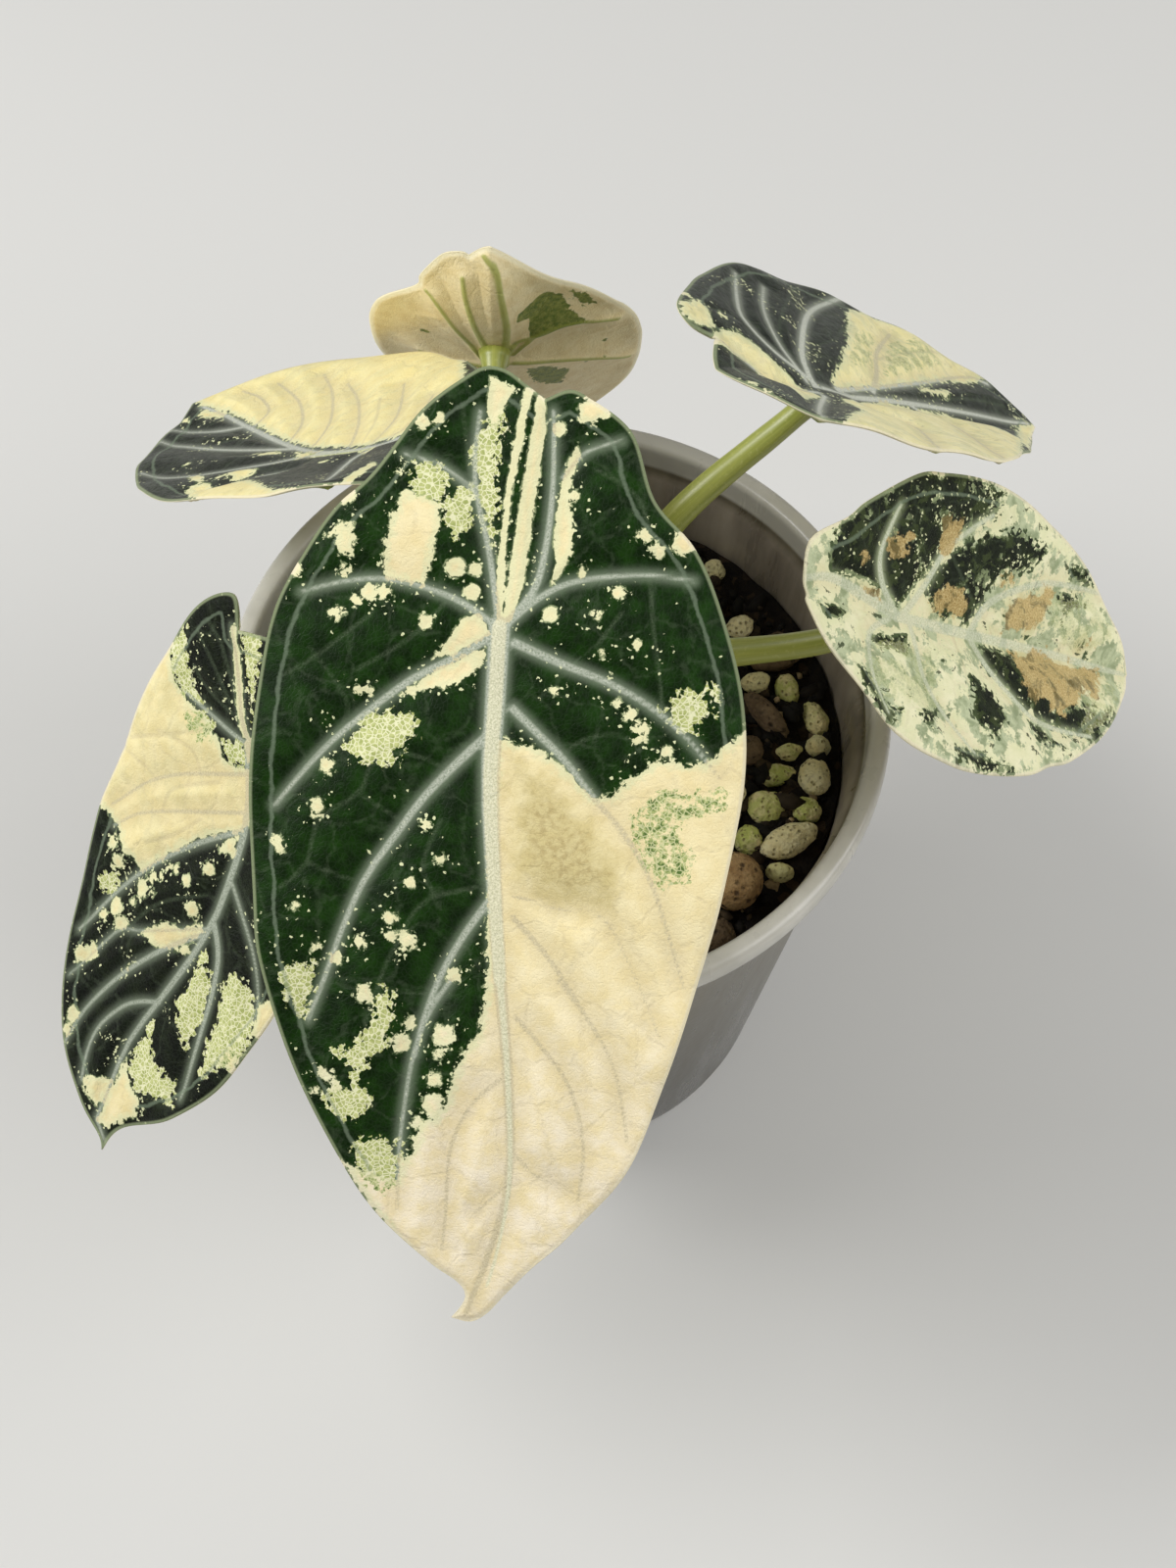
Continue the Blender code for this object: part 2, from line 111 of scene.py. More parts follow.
# Camera, floor and light
studio = {
    "cameraPlace": (0.0, -256.87, 577.59),
    "cameraAim": (5.17, -17.71, 118.0),
    "lens": 67.5,
    "sensor": 36.0,
    "floorColour": "#D6D5D1",
    "skyStrength": 0.36,
    "keyLight": ((-640, 60, 740), 480, 6.4),
    "fillLight": ((620, -120, 600), 700, 3.8),
}


def setStudio(look):
    camera = bpy.data.objects.new("camera", bpy.data.cameras.new("camera"))
    bpy.context.scene.collection.objects.link(camera)
    camera.data.sensor_width = look["sensor"]
    camera.data.lens = look["lens"]
    camera.data.clip_start = 0.01
    camera.data.clip_end = 20.0
    place = Vector(look["cameraPlace"]) * mm
    camera.location = place
    camera.rotation_euler = (Vector(look["cameraAim"]) * mm - place).to_track_quat("-Z", "Y").to_euler()
    bpy.context.scene.camera = camera
    bpy.context.scene.view_settings.view_transform = "Standard"

    floorMesh = bpy.data.meshes.new("floor")
    work = bmesh.new()
    bmesh.ops.create_grid(work, x_segments=1, y_segments=1, size=3.0)
    work.to_mesh(floorMesh)
    work.free()
    floor = bpy.data.objects.new("floor", floorMesh)
    bpy.context.scene.collection.objects.link(floor)
    paint, tree, shader = newMaterial("matt_studio_floor", 0.9)
    shader.inputs["Base Color"].default_value = linear(look["floorColour"])
    floorMesh.materials.append(paint)

    world = bpy.data.worlds.new("studio")
    bpy.context.scene.world = world
    world.use_nodes = True
    sky = world.node_tree.nodes["Background"]
    sky.inputs["Color"].default_value = linear("#F4F5F7")
    sky.inputs["Strength"].default_value = look["skyStrength"]
    for name in ("keyLight", "fillLight"):
        spot, size, power = look[name]
        lamp = bpy.data.objects.new(name, bpy.data.lights.new(name, "AREA"))
        lamp.data.shape = "DISK"
        lamp.data.size = size * mm
        lamp.data.energy = power
        lamp.location = Vector(spot) * mm
        lamp.rotation_euler = (Vector((0, 0, 110)) * mm - lamp.location).to_track_quat("-Z", "Y").to_euler()
        bpy.context.scene.collection.objects.link(lamp)


setStudio(studio)
print("camera, floor and lights set")

# Leaves. A blade is bent along its midrib and curled across it. Its points are (across, along) in
# millimetres from the joint with the petiole.
blade = {
    "thickness": 0.9,
    "rimShare": 0.30,       # the share of that thickness at the very rim
    "rimWidth": 1.2,        # how far in the blade is thinner
    "midribRidge": 0.9,     # how far the midrib stands out below
    "ridgeWidth": 1.1,
    "posteriorRows": 7,     # rows of the solid blade behind the joint, and before it
    "anteriorRows": 17,
    "fineRows": 9,          # rows here for one row there
    "halfColumns": 58,
    "quilting": 1.1,        # how high the skin swells between two veins
    "quiltWidth": 3.6,
    "fineDip": 0.22,        # how deep a fine vein's groove is
    "fineWidth": 0.9,
    "crown": 0.3,           # how high a thick vein's middle stands above
    "flatRim": 5.0,         # the swelling grows from nothing over these lengths: from the rim,
    "flatTip": 12.0,        # from the tip,
    "flatJoint": (2.0, 11.0),   # and between these distances from the joint
}

leaves = {
    "front": {
        "joint": (-8.5, -29.1, 192), "heading": -95, "droop": 27, "tipCurl": 0.12, "lobeCurl": -0.1,
        "roll": 1, "folds": (3, 3), "curls": (0.2, 0.2), "wave": 0.5,
        "base": (-2, -7), "lift": 48, "reach": 30,
        "right": [(-5, -35), (-2, -37), (1, -39), (4, -39.5), (7, -38), (14, -32), (21, -22), (26, -17),
                  (30, -11), (34.5, -1), (36.5, 10.5), (37, 28), (35.5, 44), (34, 53.5), (28.5, 69),
                  (21, 82.5), (14.5, 91.5), (6, 99), (1.5, 102), (0, 104), (0.5, 106), (2, 108)],
        "left": [(-5, -35), (-8.5, -36.5), (-11.5, -35.5), (-18.5, -30.5), (-22.5, -20.5),
                 (-29, -13.5), (-33.5, -4.5), (-37.5, 8.5), (-38.5, 22), (-36.5, 37), (-34, 49.5),
                 (-29, 68.5), (-24, 82.5), (-16, 93), (-10.5, 98.5), (-6, 104), (-3.5, 107),
                 (-1, 108.5), (2, 108)],
        "midrib": [(0, 0), (0.5, 12), (0, 24), (-1.5, 39), (-3, 54), (-5, 69), (-6, 84), (-5, 95),
                   (-3, 102), (-1.5, 106), (2, 108)],
    },
    "left": {
        "joint": (-50.7, -25.3, 150), "heading": -117, "droop": 49.5, "tipCurl": -0.15, "lobeCurl": 0.2,
        "roll": 16, "folds": (10, 0), "curls": (0.15, 0.35), "wave": 0.4,
        "base": (-8.5, -3), "lift": 34, "reach": 24,
        "right": [(8.5, -16.5), (12, -21.5), (18, -17), (23.5, -4), (26, 7.5), (28.5, 22.5),
                  (28.5, 31), (27.5, 49.5), (21.5, 66), (12.5, 75), (6, 79), (4.5, 81)],
        "left": [(8.5, -16.5), (-3.5, -19), (-10.5, -17.5), (-16, -12.5), (-20.5, -4.5), (-24, 5),
                 (-25.5, 14), (-25.5, 23), (-22.5, 39), (-17.5, 55), (-8.5, 68), (2, 75.5), (4.5, 81)],
        "midrib": [(0, 0), (-2.5, 9), (-3.5, 19), (-1.5, 34), (3.5, 51), (7, 64), (7, 74), (4.5, 81)],
    },
    "upper_left": {
        "joint": (-20.3, 14.1, 180), "heading": 136, "droop": 50, "tipCurl": -0.15, "lobeCurl": 0.9,
        "roll": 5, "folds": (8, 3), "curls": (-0.35, 0.35), "wave": 0.3,
        "base": (-7, 5.5), "lift": 48, "reach": 26,
        "right": [(0, -19), (2, -22.5), (5, -23.5), (8.5, -20), (12, -12), (15.5, -3), (19, 6.5),
                  (22.5, 16), (26, 26), (29.5, 37), (32, 49), (31.5, 62), (28.5, 73),
                  (24, 82.5), (17.5, 90), (5.5, 98.5)],
        "left": [(0, -19), (-3, -23.5), (-6.5, -26), (-11, -24.5), (-16, -18.5), (-20.5, -10.5),
                 (-23.5, -2), (-25, 8), (-25.5, 18), (-28.5, 36), (-29, 46), (-28, 56), (-25, 66),
                 (-20.5, 75.5), (-15, 83.5), (-8, 89.5), (5.5, 98.5)],
        "midrib": [(0, 0), (0.5, 15), (-1.5, 38), (0, 57), (2.5, 74), (4.5, 88), (5.5, 98.5)],
    },
    "back": {
        "joint": (-10.2, 64, 135), "heading": 82, "droop": 78, "tipCurl": -0.2, "lobeCurl": -0.86,
        "roll": -3.5, "folds": (13, 25), "curls": (0.13, 0.11), "wave": 0.3,
        "base": (-0.5, 8), "lift": 32, "reach": 26,
        "right": [(-4, -27), (-1, -29.5), (1.5, -28.5), (12.5, -17.5), (21.5, -7.5), (27, 5), (28.5, 13),
                  (28.5, 21), (28, 30), (26, 39), (22.5, 46), (17, 53), (10.5, 59), (3, 63)],
        "left": [(-4, -27), (-5.5, -27.5), (-9, -26), (-13, -20), (-14, -16.5), (-20, -11.5),
                 (-22.5, -7.5), (-24, -1), (-24, 7.5), (-22.5, 15.5), (-19, 31), (-12.5, 46),
                 (-2.5, 59.5), (3, 63)],
        "midrib": [(0, 0), (0.5, 14), (0.5, 30), (1, 46), (3, 63)],
    },
    "upper_right": {
        "joint": (45.4, 28.1, 171), "heading": 31, "droop": 46, "tipCurl": 0, "lobeCurl": 0,
        "roll": 6, "folds": (0, 27), "curls": (0.45, -0.18), "wave": 0.35,
        "base": (6.5, 4.5), "lift": 64, "reach": 27,
        "right": [(-7.5, -25.5), (-2.5, -30.5), (3, -33.5), (9, -34.5), (15, -32.5), (20.5, -28),
                  (27.5, -13), (29.5, 4), (28.5, 12), (23, 30), (19, 39), (15, 49), (9.5, 59), (4, 69),
                  (-2.5, 79.5)],
        "left": [(-7.5, -25.5), (-10, -30.5), (-14.5, -30), (-21.5, -19.5), (-27, -9.5), (-34, 8),
                 (-33.5, 24), (-31.5, 34.5), (-28, 45.5), (-23.5, 56.5), (-18, 66), (-12.5, 73),
                 (-7, 77.5), (-2.5, 79.5)],
        "midrib": [(0, 0), (-0.5, 12), (-1.5, 30), (-2.5, 50), (-3, 66), (-2.5, 79.5)],
    },
    "right": {
        "joint": (55.4, -10.9, 162), "heading": 13.5, "droop": 41, "tipCurl": 0, "lobeCurl": 0,
        "roll": 11.5, "folds": (25, 7), "curls": (0.04, 0.29), "wave": 0.3,
        "base": (7.5, -3.5), "lift": 56, "reach": 30,
        "right": [(0, -21), (2, -21.5), (9.5, -17.5), (18.5, -10), (22.5, -4), (25, 3), (26, 11),
                  (24.5, 26), (22, 33), (20, 39.5), (13, 51.5), (4, 60.5), (-0.5, 63)],
        "left": [(0, -21), (-2.5, -22.5), (-9, -22), (-14, -14.5), (-17.5, -10.5), (-24, 0),
                 (-25.5, 6.5), (-26.5, 15.5), (-26, 23.5), (-23, 34), (-19, 43.5), (-8, 58),
                 (-0.5, 63)],
        "midrib": [(0, 0), (-0.5, 20), (-0.5, 43), (-0.5, 63)],
    },
}

# Markings, picked on enlarged crops of the photograph, scaled to pixels of its 1200 x 1600 frame, and put on
# the bent blades below. A vein or a core is (half width in mm at the start, at the end, line), a spot is (x,
# y, radius in mm), and creamFlat holds what the picture doesn't show, in millimetres on the blade.
photoFrame = (1200, 1600)
markings = {
    "front": {
        "veins": [
            (3.3, 0.6, [(510, 640), (505, 720), (500, 800), (504, 900), (510, 1000), (518, 1100),
              (520, 1200), (502, 1270), (475, 1340)]),
            (0.9, 0.4, [(509, 638), (504, 597), (497, 552), (486, 502), (485, 461), (490, 420)]),
            (0.6, 0.25, [(486, 502), (449, 475), (413, 463)]),
            (1.1, 0.4, [(515, 638), (545, 602), (558, 552), (564, 497), (565, 456), (565, 420)]),
            (0.5, 0.25, [(574, 488), (599, 461), (635, 450)]),
            (0.9, 0.35, [(507, 640), (472, 615), (435, 600), (390, 590), (345, 594), (308, 604)]),
            (0.9, 0.35, [(517, 638), (549, 611), (581, 595), (626, 588), (667, 587), (708, 593)]),
            (1.2, 0.45, [(500, 650), (463, 672), (420, 693), (380, 722), (345, 750), (320, 775), (298, 800),
              (280, 822)]),
            (1.2, 0.4, [(525, 656), (572, 677), (617, 695), (654, 715), (685, 738), (707, 760),
              (735, 795)]),
            (1.2, 0.45, [(498, 750), (468, 777), (432, 814), (405, 850), (373, 895), (350, 945), (332, 995),
              (314, 1041)]),
            (1.1, 0.35, [(523, 723), (550, 750), (577, 777), (605, 814), (636, 850), (664, 900), (682, 955),
              (698, 1009)]),
            (1.0, 0.6, [(500, 918), (473, 955), (450, 995), (432, 1041), (423, 1077)]),
            (0.6, 0.3, [(460, 1000), (438, 1033), (422, 1075), (413, 1125), (407, 1175), (405, 1233)]),
            (0.8, 0.4, [(523, 936), (559, 977), (586, 1018), (614, 1064)]),
            (0.4, 0.3, [(568, 1000), (609, 1054), (630, 1104), (640, 1167)]),
            (0.35, 0.2, [(523, 914), (568, 927), (614, 936), (645, 991), (673, 1059)]),
            (0.6, 0.25, [(526, 1038), (551, 1067), (580, 1108), (595, 1167), (590, 1225)]),
            (0.5, 0.25, [(513, 1100), (480, 1129), (459, 1175), (455, 1233), (451, 1275)]),
            (0.4, 0.2, [(526, 1179), (547, 1200), (588, 1221)]),
            (0.4, 0.2, [(515, 1212), (484, 1238)]),
        ],
        "cores": [
            (1.1, 0.9, [(510, 640), (505, 720), (500, 800), (504, 900), (510, 1000)]),
            (0.5, 0.2, [(510, 1000), (518, 1100), (520, 1200), (509, 1270), (497, 1312)]),
        ],
        "fine": [
            [(450, 782), (416, 768), (382, 775), (367, 809), (325, 836), (314, 880), (286, 905)],
            [(407, 836), (367, 809)],
            [(364, 900), (314, 880)],
            [(486, 905), (445, 914), (425, 927), (409, 955), (391, 991), (373, 1045)],
            [(445, 914), (432, 882), (450, 836)],
            [(436, 1014), (391, 1009)],
            [(481, 493), (476, 452), (472, 411)],
            [(454, 615), (417, 652), (363, 684)],
            [(381, 625), (322, 670), (290, 688)],
            [(345, 747), (354, 715), (317, 661)],
            [(663, 588), (667, 643), (676, 720)],
            [(635, 625), (608, 661)],
            [(663, 543), (649, 506), (608, 479)],
            [(568, 777), (595, 755), (632, 750), (655, 768)],
        ],
        "cream": [
            [(506, 752), (522, 757), (545, 762), (575, 785), (605, 813), (625, 812), (635, 800), (660, 785),
              (664, 776), (680, 775), (700, 782), (722, 778), (745, 757), (790, 735), (785, 900),
              (755, 1010), (715, 1110), (640, 1215), (560, 1305), (465, 1375), (415, 1280), (345, 1182),
              (405, 1205), (406, 1180), (413, 1183), (422, 1173), (428, 1146), (445, 1140), (455, 1125),
              (465, 1092), (474, 1069), (486, 1058), (495, 1021), (497, 960), (499, 850)],
            [(413, 500), (435, 506), (449, 515), (449, 538), (442, 561), (438, 584), (431, 597), (404, 593),
              (390, 586), (392, 561), (397, 538), (406, 515)],
            [(347, 536), (360, 534), (362, 550), (357, 570), (349, 565), (341, 550)],
            [(501, 384), (497, 411), (498, 434), (508, 438), (515, 415), (526, 397)],
            [(537, 395), (531, 420), (523, 461), (516, 502), (512, 538), (506, 588), (507, 638), (513, 638),
              (517, 552), (523, 502), (532, 461), (538, 425), (545, 397)],
            [(548, 402), (544, 438), (537, 475), (530, 520), (523, 565), (516, 611), (513, 638), (521, 636),
              (532, 606), (539, 565), (545, 520), (552, 475), (557, 438), (556, 406)],
            [(588, 454), (577, 479), (568, 520), (565, 552), (567, 575), (562, 597), (571, 588), (583, 565),
              (586, 543), (582, 520), (581, 493), (592, 465)],
            [(490, 625), (472, 631), (456, 654), (442, 672), (458, 670), (490, 654), (500, 647)],
            [(494, 661), (472, 670), (440, 686), (408, 709), (447, 701), (465, 700), (485, 686),
              (495, 670)],
        ],
        "net": [
            [(420, 472), (440, 469), (455, 484), (457, 502), (449, 512), (426, 506), (421, 493)],
            [(456, 506), (472, 497), (482, 515), (482, 534), (465, 548), (454, 538)],
            [(495, 429), (482, 452), (485, 484), (482, 502), (491, 515), (498, 552), (506, 561), (507, 506),
              (508, 461), (514, 425)],
            [(695, 703), (723, 715), (718, 735), (704, 751), (685, 740), (677, 725)],
            [(722, 697), (732, 706), (730, 731), (721, 722)],
            [(370, 731), (400, 724), (426, 734), (424, 751), (411, 760), (405, 781), (386, 776), (368, 776),
              (346, 765), (359, 749)],
            [(290, 983), (319, 981), (324, 995), (319, 1019), (305, 1043), (295, 1018), (288, 1000)],
            [(388, 1008), (402, 1008), (399, 1055), (386, 1069), (361, 1070), (381, 1041)],
            [(392, 1006), (402, 1012), (400, 1038), (385, 1055), (392, 1069), (375, 1080), (368, 1102),
              (382, 1122), (364, 1140), (342, 1140), (328, 1117), (342, 1108), (359, 1108), (358, 1084),
              (338, 1070), (359, 1069), (372, 1053), (383, 1032)],
            [(363, 1165), (384, 1158), (407, 1167), (405, 1208), (392, 1217), (370, 1204), (359, 1179)],
            [(645, 832), (659, 811), (709, 809), (741, 807), (739, 825), (705, 836), (686, 850), (709, 873),
              (705, 895), (673, 907), (659, 882), (641, 850)],
        ],
        "tan": [
            [(523, 773), (559, 795), (595, 827), (623, 864), (636, 891), (623, 925), (586, 923), (550, 914),
              (525, 891)],
        ],
        "spots": [
            (465, 579, 1.5), (485, 581, 1.0), (482, 604, 1.3), (604, 419, 2.1), (614, 421, 1.1),
            (656, 546, 1.0), (670, 561, 1.1), (698, 554, 1.9), (630, 606, 1.1), (562, 627, 1.2),
            (352, 583, 0.9), (344, 625, 1.1), (435, 635, 1.1), (376, 604, 1.3), (392, 604, 1.1),
            (363, 613, 0.9), (410, 479, 0.7), (449, 429, 0.9), (431, 431, 1.1), (354, 506, 1.3),
            (303, 581, 0.9), (339, 545, 0.8), (585, 506, 0.8), (570, 438, 1.1), (594, 584, 0.7),
            (376, 705, 0.7), (365, 704, 0.6), (615, 668, 0.5), (651, 659, 0.7), (567, 704, 0.6),
            (642, 729, 0.9), (654, 743, 1.1), (629, 718, 0.6), (610, 629, 0.7), (334, 782, 1.1),
            (325, 823, 1.3), (418, 900, 0.9), (416, 959, 1.4), (400, 955, 1.0), (398, 937, 1.1),
            (368, 961, 0.8), (463, 995, 1.1), (453, 1057, 1.6), (408, 1064, 1.3), (420, 1043, 0.9),
            (373, 1014, 1.2), (343, 977, 0.9), (643, 730, 0.9), (652, 743, 1.0), (652, 755, 0.9),
            (284, 859, 0.9), (286, 866, 0.6), (300, 923, 0.6), (450, 875, 0.8), (323, 966, 0.6),
            (436, 841, 0.8), (680, 768, 0.8), (453, 1056, 1.6), (448, 1076, 0.7), (443, 1100, 1.1),
            (442, 1127, 1.7), (409, 1065, 1.4), (419, 1043, 1.0), (372, 1012, 1.3), (332, 1095, 1.3),
            (345, 1109, 1.0), (322, 1112, 0.7), (426, 1146, 1.0), (422, 1167, 0.7),
        ],
    },
    "left": {
        "veins": [
            (1.6, 0.4, [(256, 757), (254, 802), (249, 848), (235, 894), (219, 936), (196, 975), (165, 1017),
              (131, 1063), (108, 1117), (100, 1144), (110, 1169)]),
            (0.8, 0.35, [(256, 757), (248, 732), (242, 686), (238, 640)]),
            (0.7, 0.35, [(254, 759), (231, 742), (208, 723), (188, 705)]),
            (0.6, 0.3, [(256, 790), (227, 790), (185, 790), (150, 798), (115, 821)]),
            (0.6, 0.3, [(254, 830), (215, 829), (177, 828), (142, 830), (117, 842)]),
            (0.9, 0.35, [(248, 848), (219, 855), (185, 867), (150, 886), (115, 913), (81, 948)]),
            (0.9, 0.35, [(208, 953), (185, 961), (154, 975), (119, 998), (85, 1032), (69, 1063)]),
            (0.6, 0.3, [(162, 1023), (142, 1022), (123, 1028), (100, 1048), (88, 1075), (85, 1102)]),
            (0.4, 0.2, [(212, 948), (146, 950), (123, 948), (100, 967), (73, 994)]),
            (1.1, 0.4, [(218, 944), (222, 975), (216, 1013), (205, 1052), (193, 1090), (185, 1121)]),
            (0.6, 0.3, [(235, 898), (247, 936), (258, 975), (262, 1013), (260, 1040)]),
        ],
        "fine": [
            [(215, 744), (177, 748), (135, 752)],
            [(204, 790), (196, 763), (165, 744)],
            [(165, 828), (177, 805), (223, 798)],
            [(158, 794), (142, 775), (127, 763)],
            [(204, 836), (177, 852), (150, 859)],
            [(204, 640), (219, 675), (235, 717)],
            [(215, 632), (227, 659), (238, 705)],
            [(200, 678), (215, 705), (238, 728)],
            [(212, 913), (165, 921), (127, 948)],
        ],
        "cream": [
            [(177, 655), (175, 667), (179, 694), (192, 715), (204, 725), (215, 742), (227, 759), (231, 775),
              (242, 782), (260, 784), (260, 821), (250, 848), (227, 852), (204, 855), (185, 865),
              (165, 875), (144, 891), (138, 877), (125, 859), (121, 842), (110, 827), (92, 805), (100, 763),
              (119, 725), (142, 678)],
            [(237, 638), (242, 640), (246, 686), (250, 728), (257, 755), (250, 753), (242, 721),
              (238, 686)],
            [(144, 952), (165, 940), (181, 946), (204, 945), (211, 950), (193, 960), (173, 968), (160, 966),
              (149, 958)],
            [(177, 967), (199, 964), (192, 973), (177, 973)],
            [(231, 855), (243, 855), (238, 873), (224, 868)],
            [(85, 1098), (115, 1101), (108, 1117), (100, 1130), (90, 1113)],
            [(129, 1080), (133, 1102), (145, 1121), (142, 1138), (108, 1150), (100, 1142), (111, 1113),
              (123, 1092)],
            [(235, 1069), (252, 1074), (239, 1096), (228, 1086)],
            [(263, 1025), (278, 1020), (285, 1036), (265, 1063), (258, 1052)],
            [(250, 755), (260, 752), (262, 775), (254, 782)],
        ],
        "net": [
            [(177, 650), (193, 638), (195, 667), (199, 698), (205, 719), (188, 710), (179, 694),
              (175, 667)],
            [(192, 723), (212, 728), (220, 744), (215, 756), (200, 752), (190, 736)],
            [(228, 757), (250, 755), (255, 783), (235, 779)],
            [(247, 643), (266, 643), (270, 667), (264, 698), (258, 734), (254, 705), (251, 667)],
            [(102, 893), (120, 889), (124, 902), (112, 914), (101, 906)],
            [(155, 1043), (142, 1067), (132, 1090), (142, 1114), (162, 1122), (178, 1129), (180, 1105),
              (166, 1090), (158, 1071)],
            [(205, 968), (196, 1005), (181, 1021), (188, 1071), (205, 1044), (216, 1005), (210, 975)],
            [(226, 1005), (243, 993), (258, 1017), (260, 1052), (251, 1079), (227, 1091), (203, 1098),
              (212, 1063), (223, 1044)],
        ],
        "spots": [
            (119, 925, 1.6), (122, 941, 1.4), (104, 934, 1.1), (146, 907, 1.4), (155, 897, 1.0),
            (123, 878, 1.2), (117, 859, 1.1), (215, 886, 1.2), (198, 928, 1.4), (194, 898, 0.9),
            (158, 911, 0.7), (181, 888, 0.9), (85, 973, 1.6), (94, 971, 1.3), (131, 986, 0.6),
            (77, 1034, 1.2), (72, 1050, 1.0), (137, 919, 0.6), (173, 882, 0.6), (165, 894, 0.6),
        ],
    },
    "upper_left": {
        "veins": [
            (1.1, 0.5, [(412, 444), (399, 450), (365, 458), (326, 461), (304, 457), (284, 450), (265, 441),
              (248, 433), (227, 422), (207, 416)]),
            (0.7, 0.3, [(304, 457), (283, 458), (218, 458), (189, 455), (164, 453)]),
            (0.7, 0.3, [(345, 461), (312, 465), (283, 471), (248, 477), (189, 486), (145, 485)]),
            (0.7, 0.3, [(374, 459), (359, 468), (345, 480), (329, 494)]),
            (0.45, 0.25, [(254, 434), (227, 439), (189, 441), (171, 443)]),
            (0.45, 0.25, [(295, 480), (259, 487), (227, 496), (193, 503)]),
            (0.5, 0.3, [(395, 447), (424, 428), (442, 402)]),
            (0.5, 0.3, [(354, 457), (365, 434), (365, 408), (354, 390)]),
            (0.5, 0.3, [(318, 455), (336, 431), (339, 402), (330, 381)]),
            (0.5, 0.3, [(295, 450), (308, 431), (304, 408), (283, 390)]),
            (0.5, 0.3, [(259, 434), (274, 419), (265, 405), (248, 399)]),
            (0.5, 0.3, [(374, 455), (404, 425), (412, 390)]),
        ],
        "fine": [
            [(271, 446), (248, 449), (227, 452)],
            [(295, 464), (262, 467), (233, 467)],
            [(233, 478), (212, 487), (195, 490)],
            [(365, 456), (383, 434), (389, 408)],
        ],
        "cream": [
            [(408, 444), (395, 448), (365, 455), (324, 457), (306, 453), (289, 448), (256, 431), (229, 419),
              (207, 415), (189, 405), (218, 366), (336, 331), (468, 331), (477, 408)],
            [(193, 499), (212, 495), (227, 499), (256, 495), (266, 499), (283, 502), (315, 499), (348, 494),
              (384, 476), (384, 481), (348, 499), (306, 505), (268, 512), (227, 514), (201, 514),
              (190, 506)],
            [(202, 425), (209, 419), (229, 420), (228, 426), (206, 428)],
            [(185, 432), (194, 428), (192, 434)],
            [(231, 488), (248, 482), (264, 482), (242, 491)],
            [(262, 464), (283, 460), (285, 464), (265, 466)],
            [(302, 461), (326, 460), (318, 464), (302, 468)],
            [(367, 461), (390, 455), (392, 458), (374, 465)],
            [(194, 486), (204, 484), (211, 491), (204, 499), (196, 494)],
        ],
        "net": [
            [(312, 461), (395, 453), (392, 456), (318, 467)],
        ],
        "spots": [
            (333, 475, 0.6), (284, 475, 0.5), (192, 477, 0.5), (306, 478, 0.4), (277, 489, 0.4),
            (218, 486, 0.5), (224, 491, 0.5),
        ],
        "creamFlat": [
            [(0.5, -19), (2, -26), (10, -26), (20, -8), (24, 12), (10, 14), (1, 8), (0.8, 0)],
        ],
    },
    "back": {
        "veins": [
            (0.9, 0.35, [(513, 368), (515, 334), (508, 296), (504, 271), (495, 259)]),
            (0.8, 0.3, [(502, 362), (491, 340), (478, 304), (474, 279)]),
            (0.7, 0.3, [(516, 359), (526, 346), (549, 337), (574, 326), (597, 321)]),
            (0.6, 0.25, [(522, 357), (555, 332), (597, 322), (630, 321)]),
            (0.6, 0.25, [(497, 365), (472, 337), (447, 304), (436, 293)]),
            (0.6, 0.25, [(522, 365), (563, 362), (608, 359), (641, 359)]),
            (0.6, 0.25, [(494, 368), (458, 359), (430, 351)]),
        ],
        "fine": [
            [(472, 337), (455, 323), (430, 321)],
            [(563, 362), (586, 346), (624, 334)],
        ],
        "dark": [
            [(541, 309), (558, 297), (574, 300), (580, 312), (597, 321), (574, 329), (549, 337), (538, 340),
              (540, 323), (526, 326), (527, 318), (538, 312)],
            [(583, 296), (599, 298), (609, 307), (597, 309), (584, 302)],
            [(538, 375), (555, 372), (580, 376), (574, 390), (561, 391), (547, 390), (540, 383)],
        ],
        "spots": [
            (616, 346, 0.3), (613, 358, 0.3), (597, 365, 0.3), (473, 344, 0.3), (434, 338, 0.6),
        ],
        "creamFlat": [
            [(-60, -60), (60, -60), (60, 115), (-60, 115)],
        ],
    },
    "upper_right": {
        "veins": [
            (1.0, 0.4, [(839, 399), (854, 403), (903, 408), (954, 415), (1003, 424), (1048, 434)]),
            (0.7, 0.3, [(837, 399), (792, 359), (770, 337), (755, 315), (750, 280)]),
            (1.0, 0.5, [(830, 397), (820, 374), (819, 347), (823, 324), (835, 312), (854, 308)]),
            (0.9, 0.4, [(891, 399), (895, 382), (895, 359), (909, 340)]),
            (0.8, 0.35, [(852, 398), (903, 394), (949, 389), (986, 384), (1006, 394)]),
            (0.5, 0.25, [(822, 391), (795, 349), (780, 316), (779, 293)]),
            (0.6, 0.3, [(835, 402), (795, 391), (753, 362), (728, 345)]),
            (0.6, 0.3, [(870, 408), (903, 424), (937, 437), (962, 462)]),
            (0.6, 0.3, [(928, 412), (970, 432), (1003, 453), (1024, 468)]),
            (0.6, 0.3, [(841, 405), (837, 420), (853, 437)]),
        ],
        "fine": [
            [(808, 370), (795, 332), (808, 295)],
            [(774, 345), (758, 332), (720, 316)],
            [(828, 353), (849, 349), (862, 332)],
            [(941, 408), (987, 408), (1024, 416)],
            [(895, 366), (920, 362), (953, 362)],
        ],
        "cream": [
            [(861, 319), (878, 319), (903, 330), (937, 343), (970, 364), (1003, 389), (987, 391),
              (958, 388), (920, 393), (891, 396), (853, 396), (848, 392), (855, 370), (862, 345)],
            [(858, 410), (903, 408), (928, 416), (962, 422), (1003, 435), (1043, 453), (1041, 478),
              (1003, 487), (920, 470), (878, 447), (847, 435), (878, 424)],
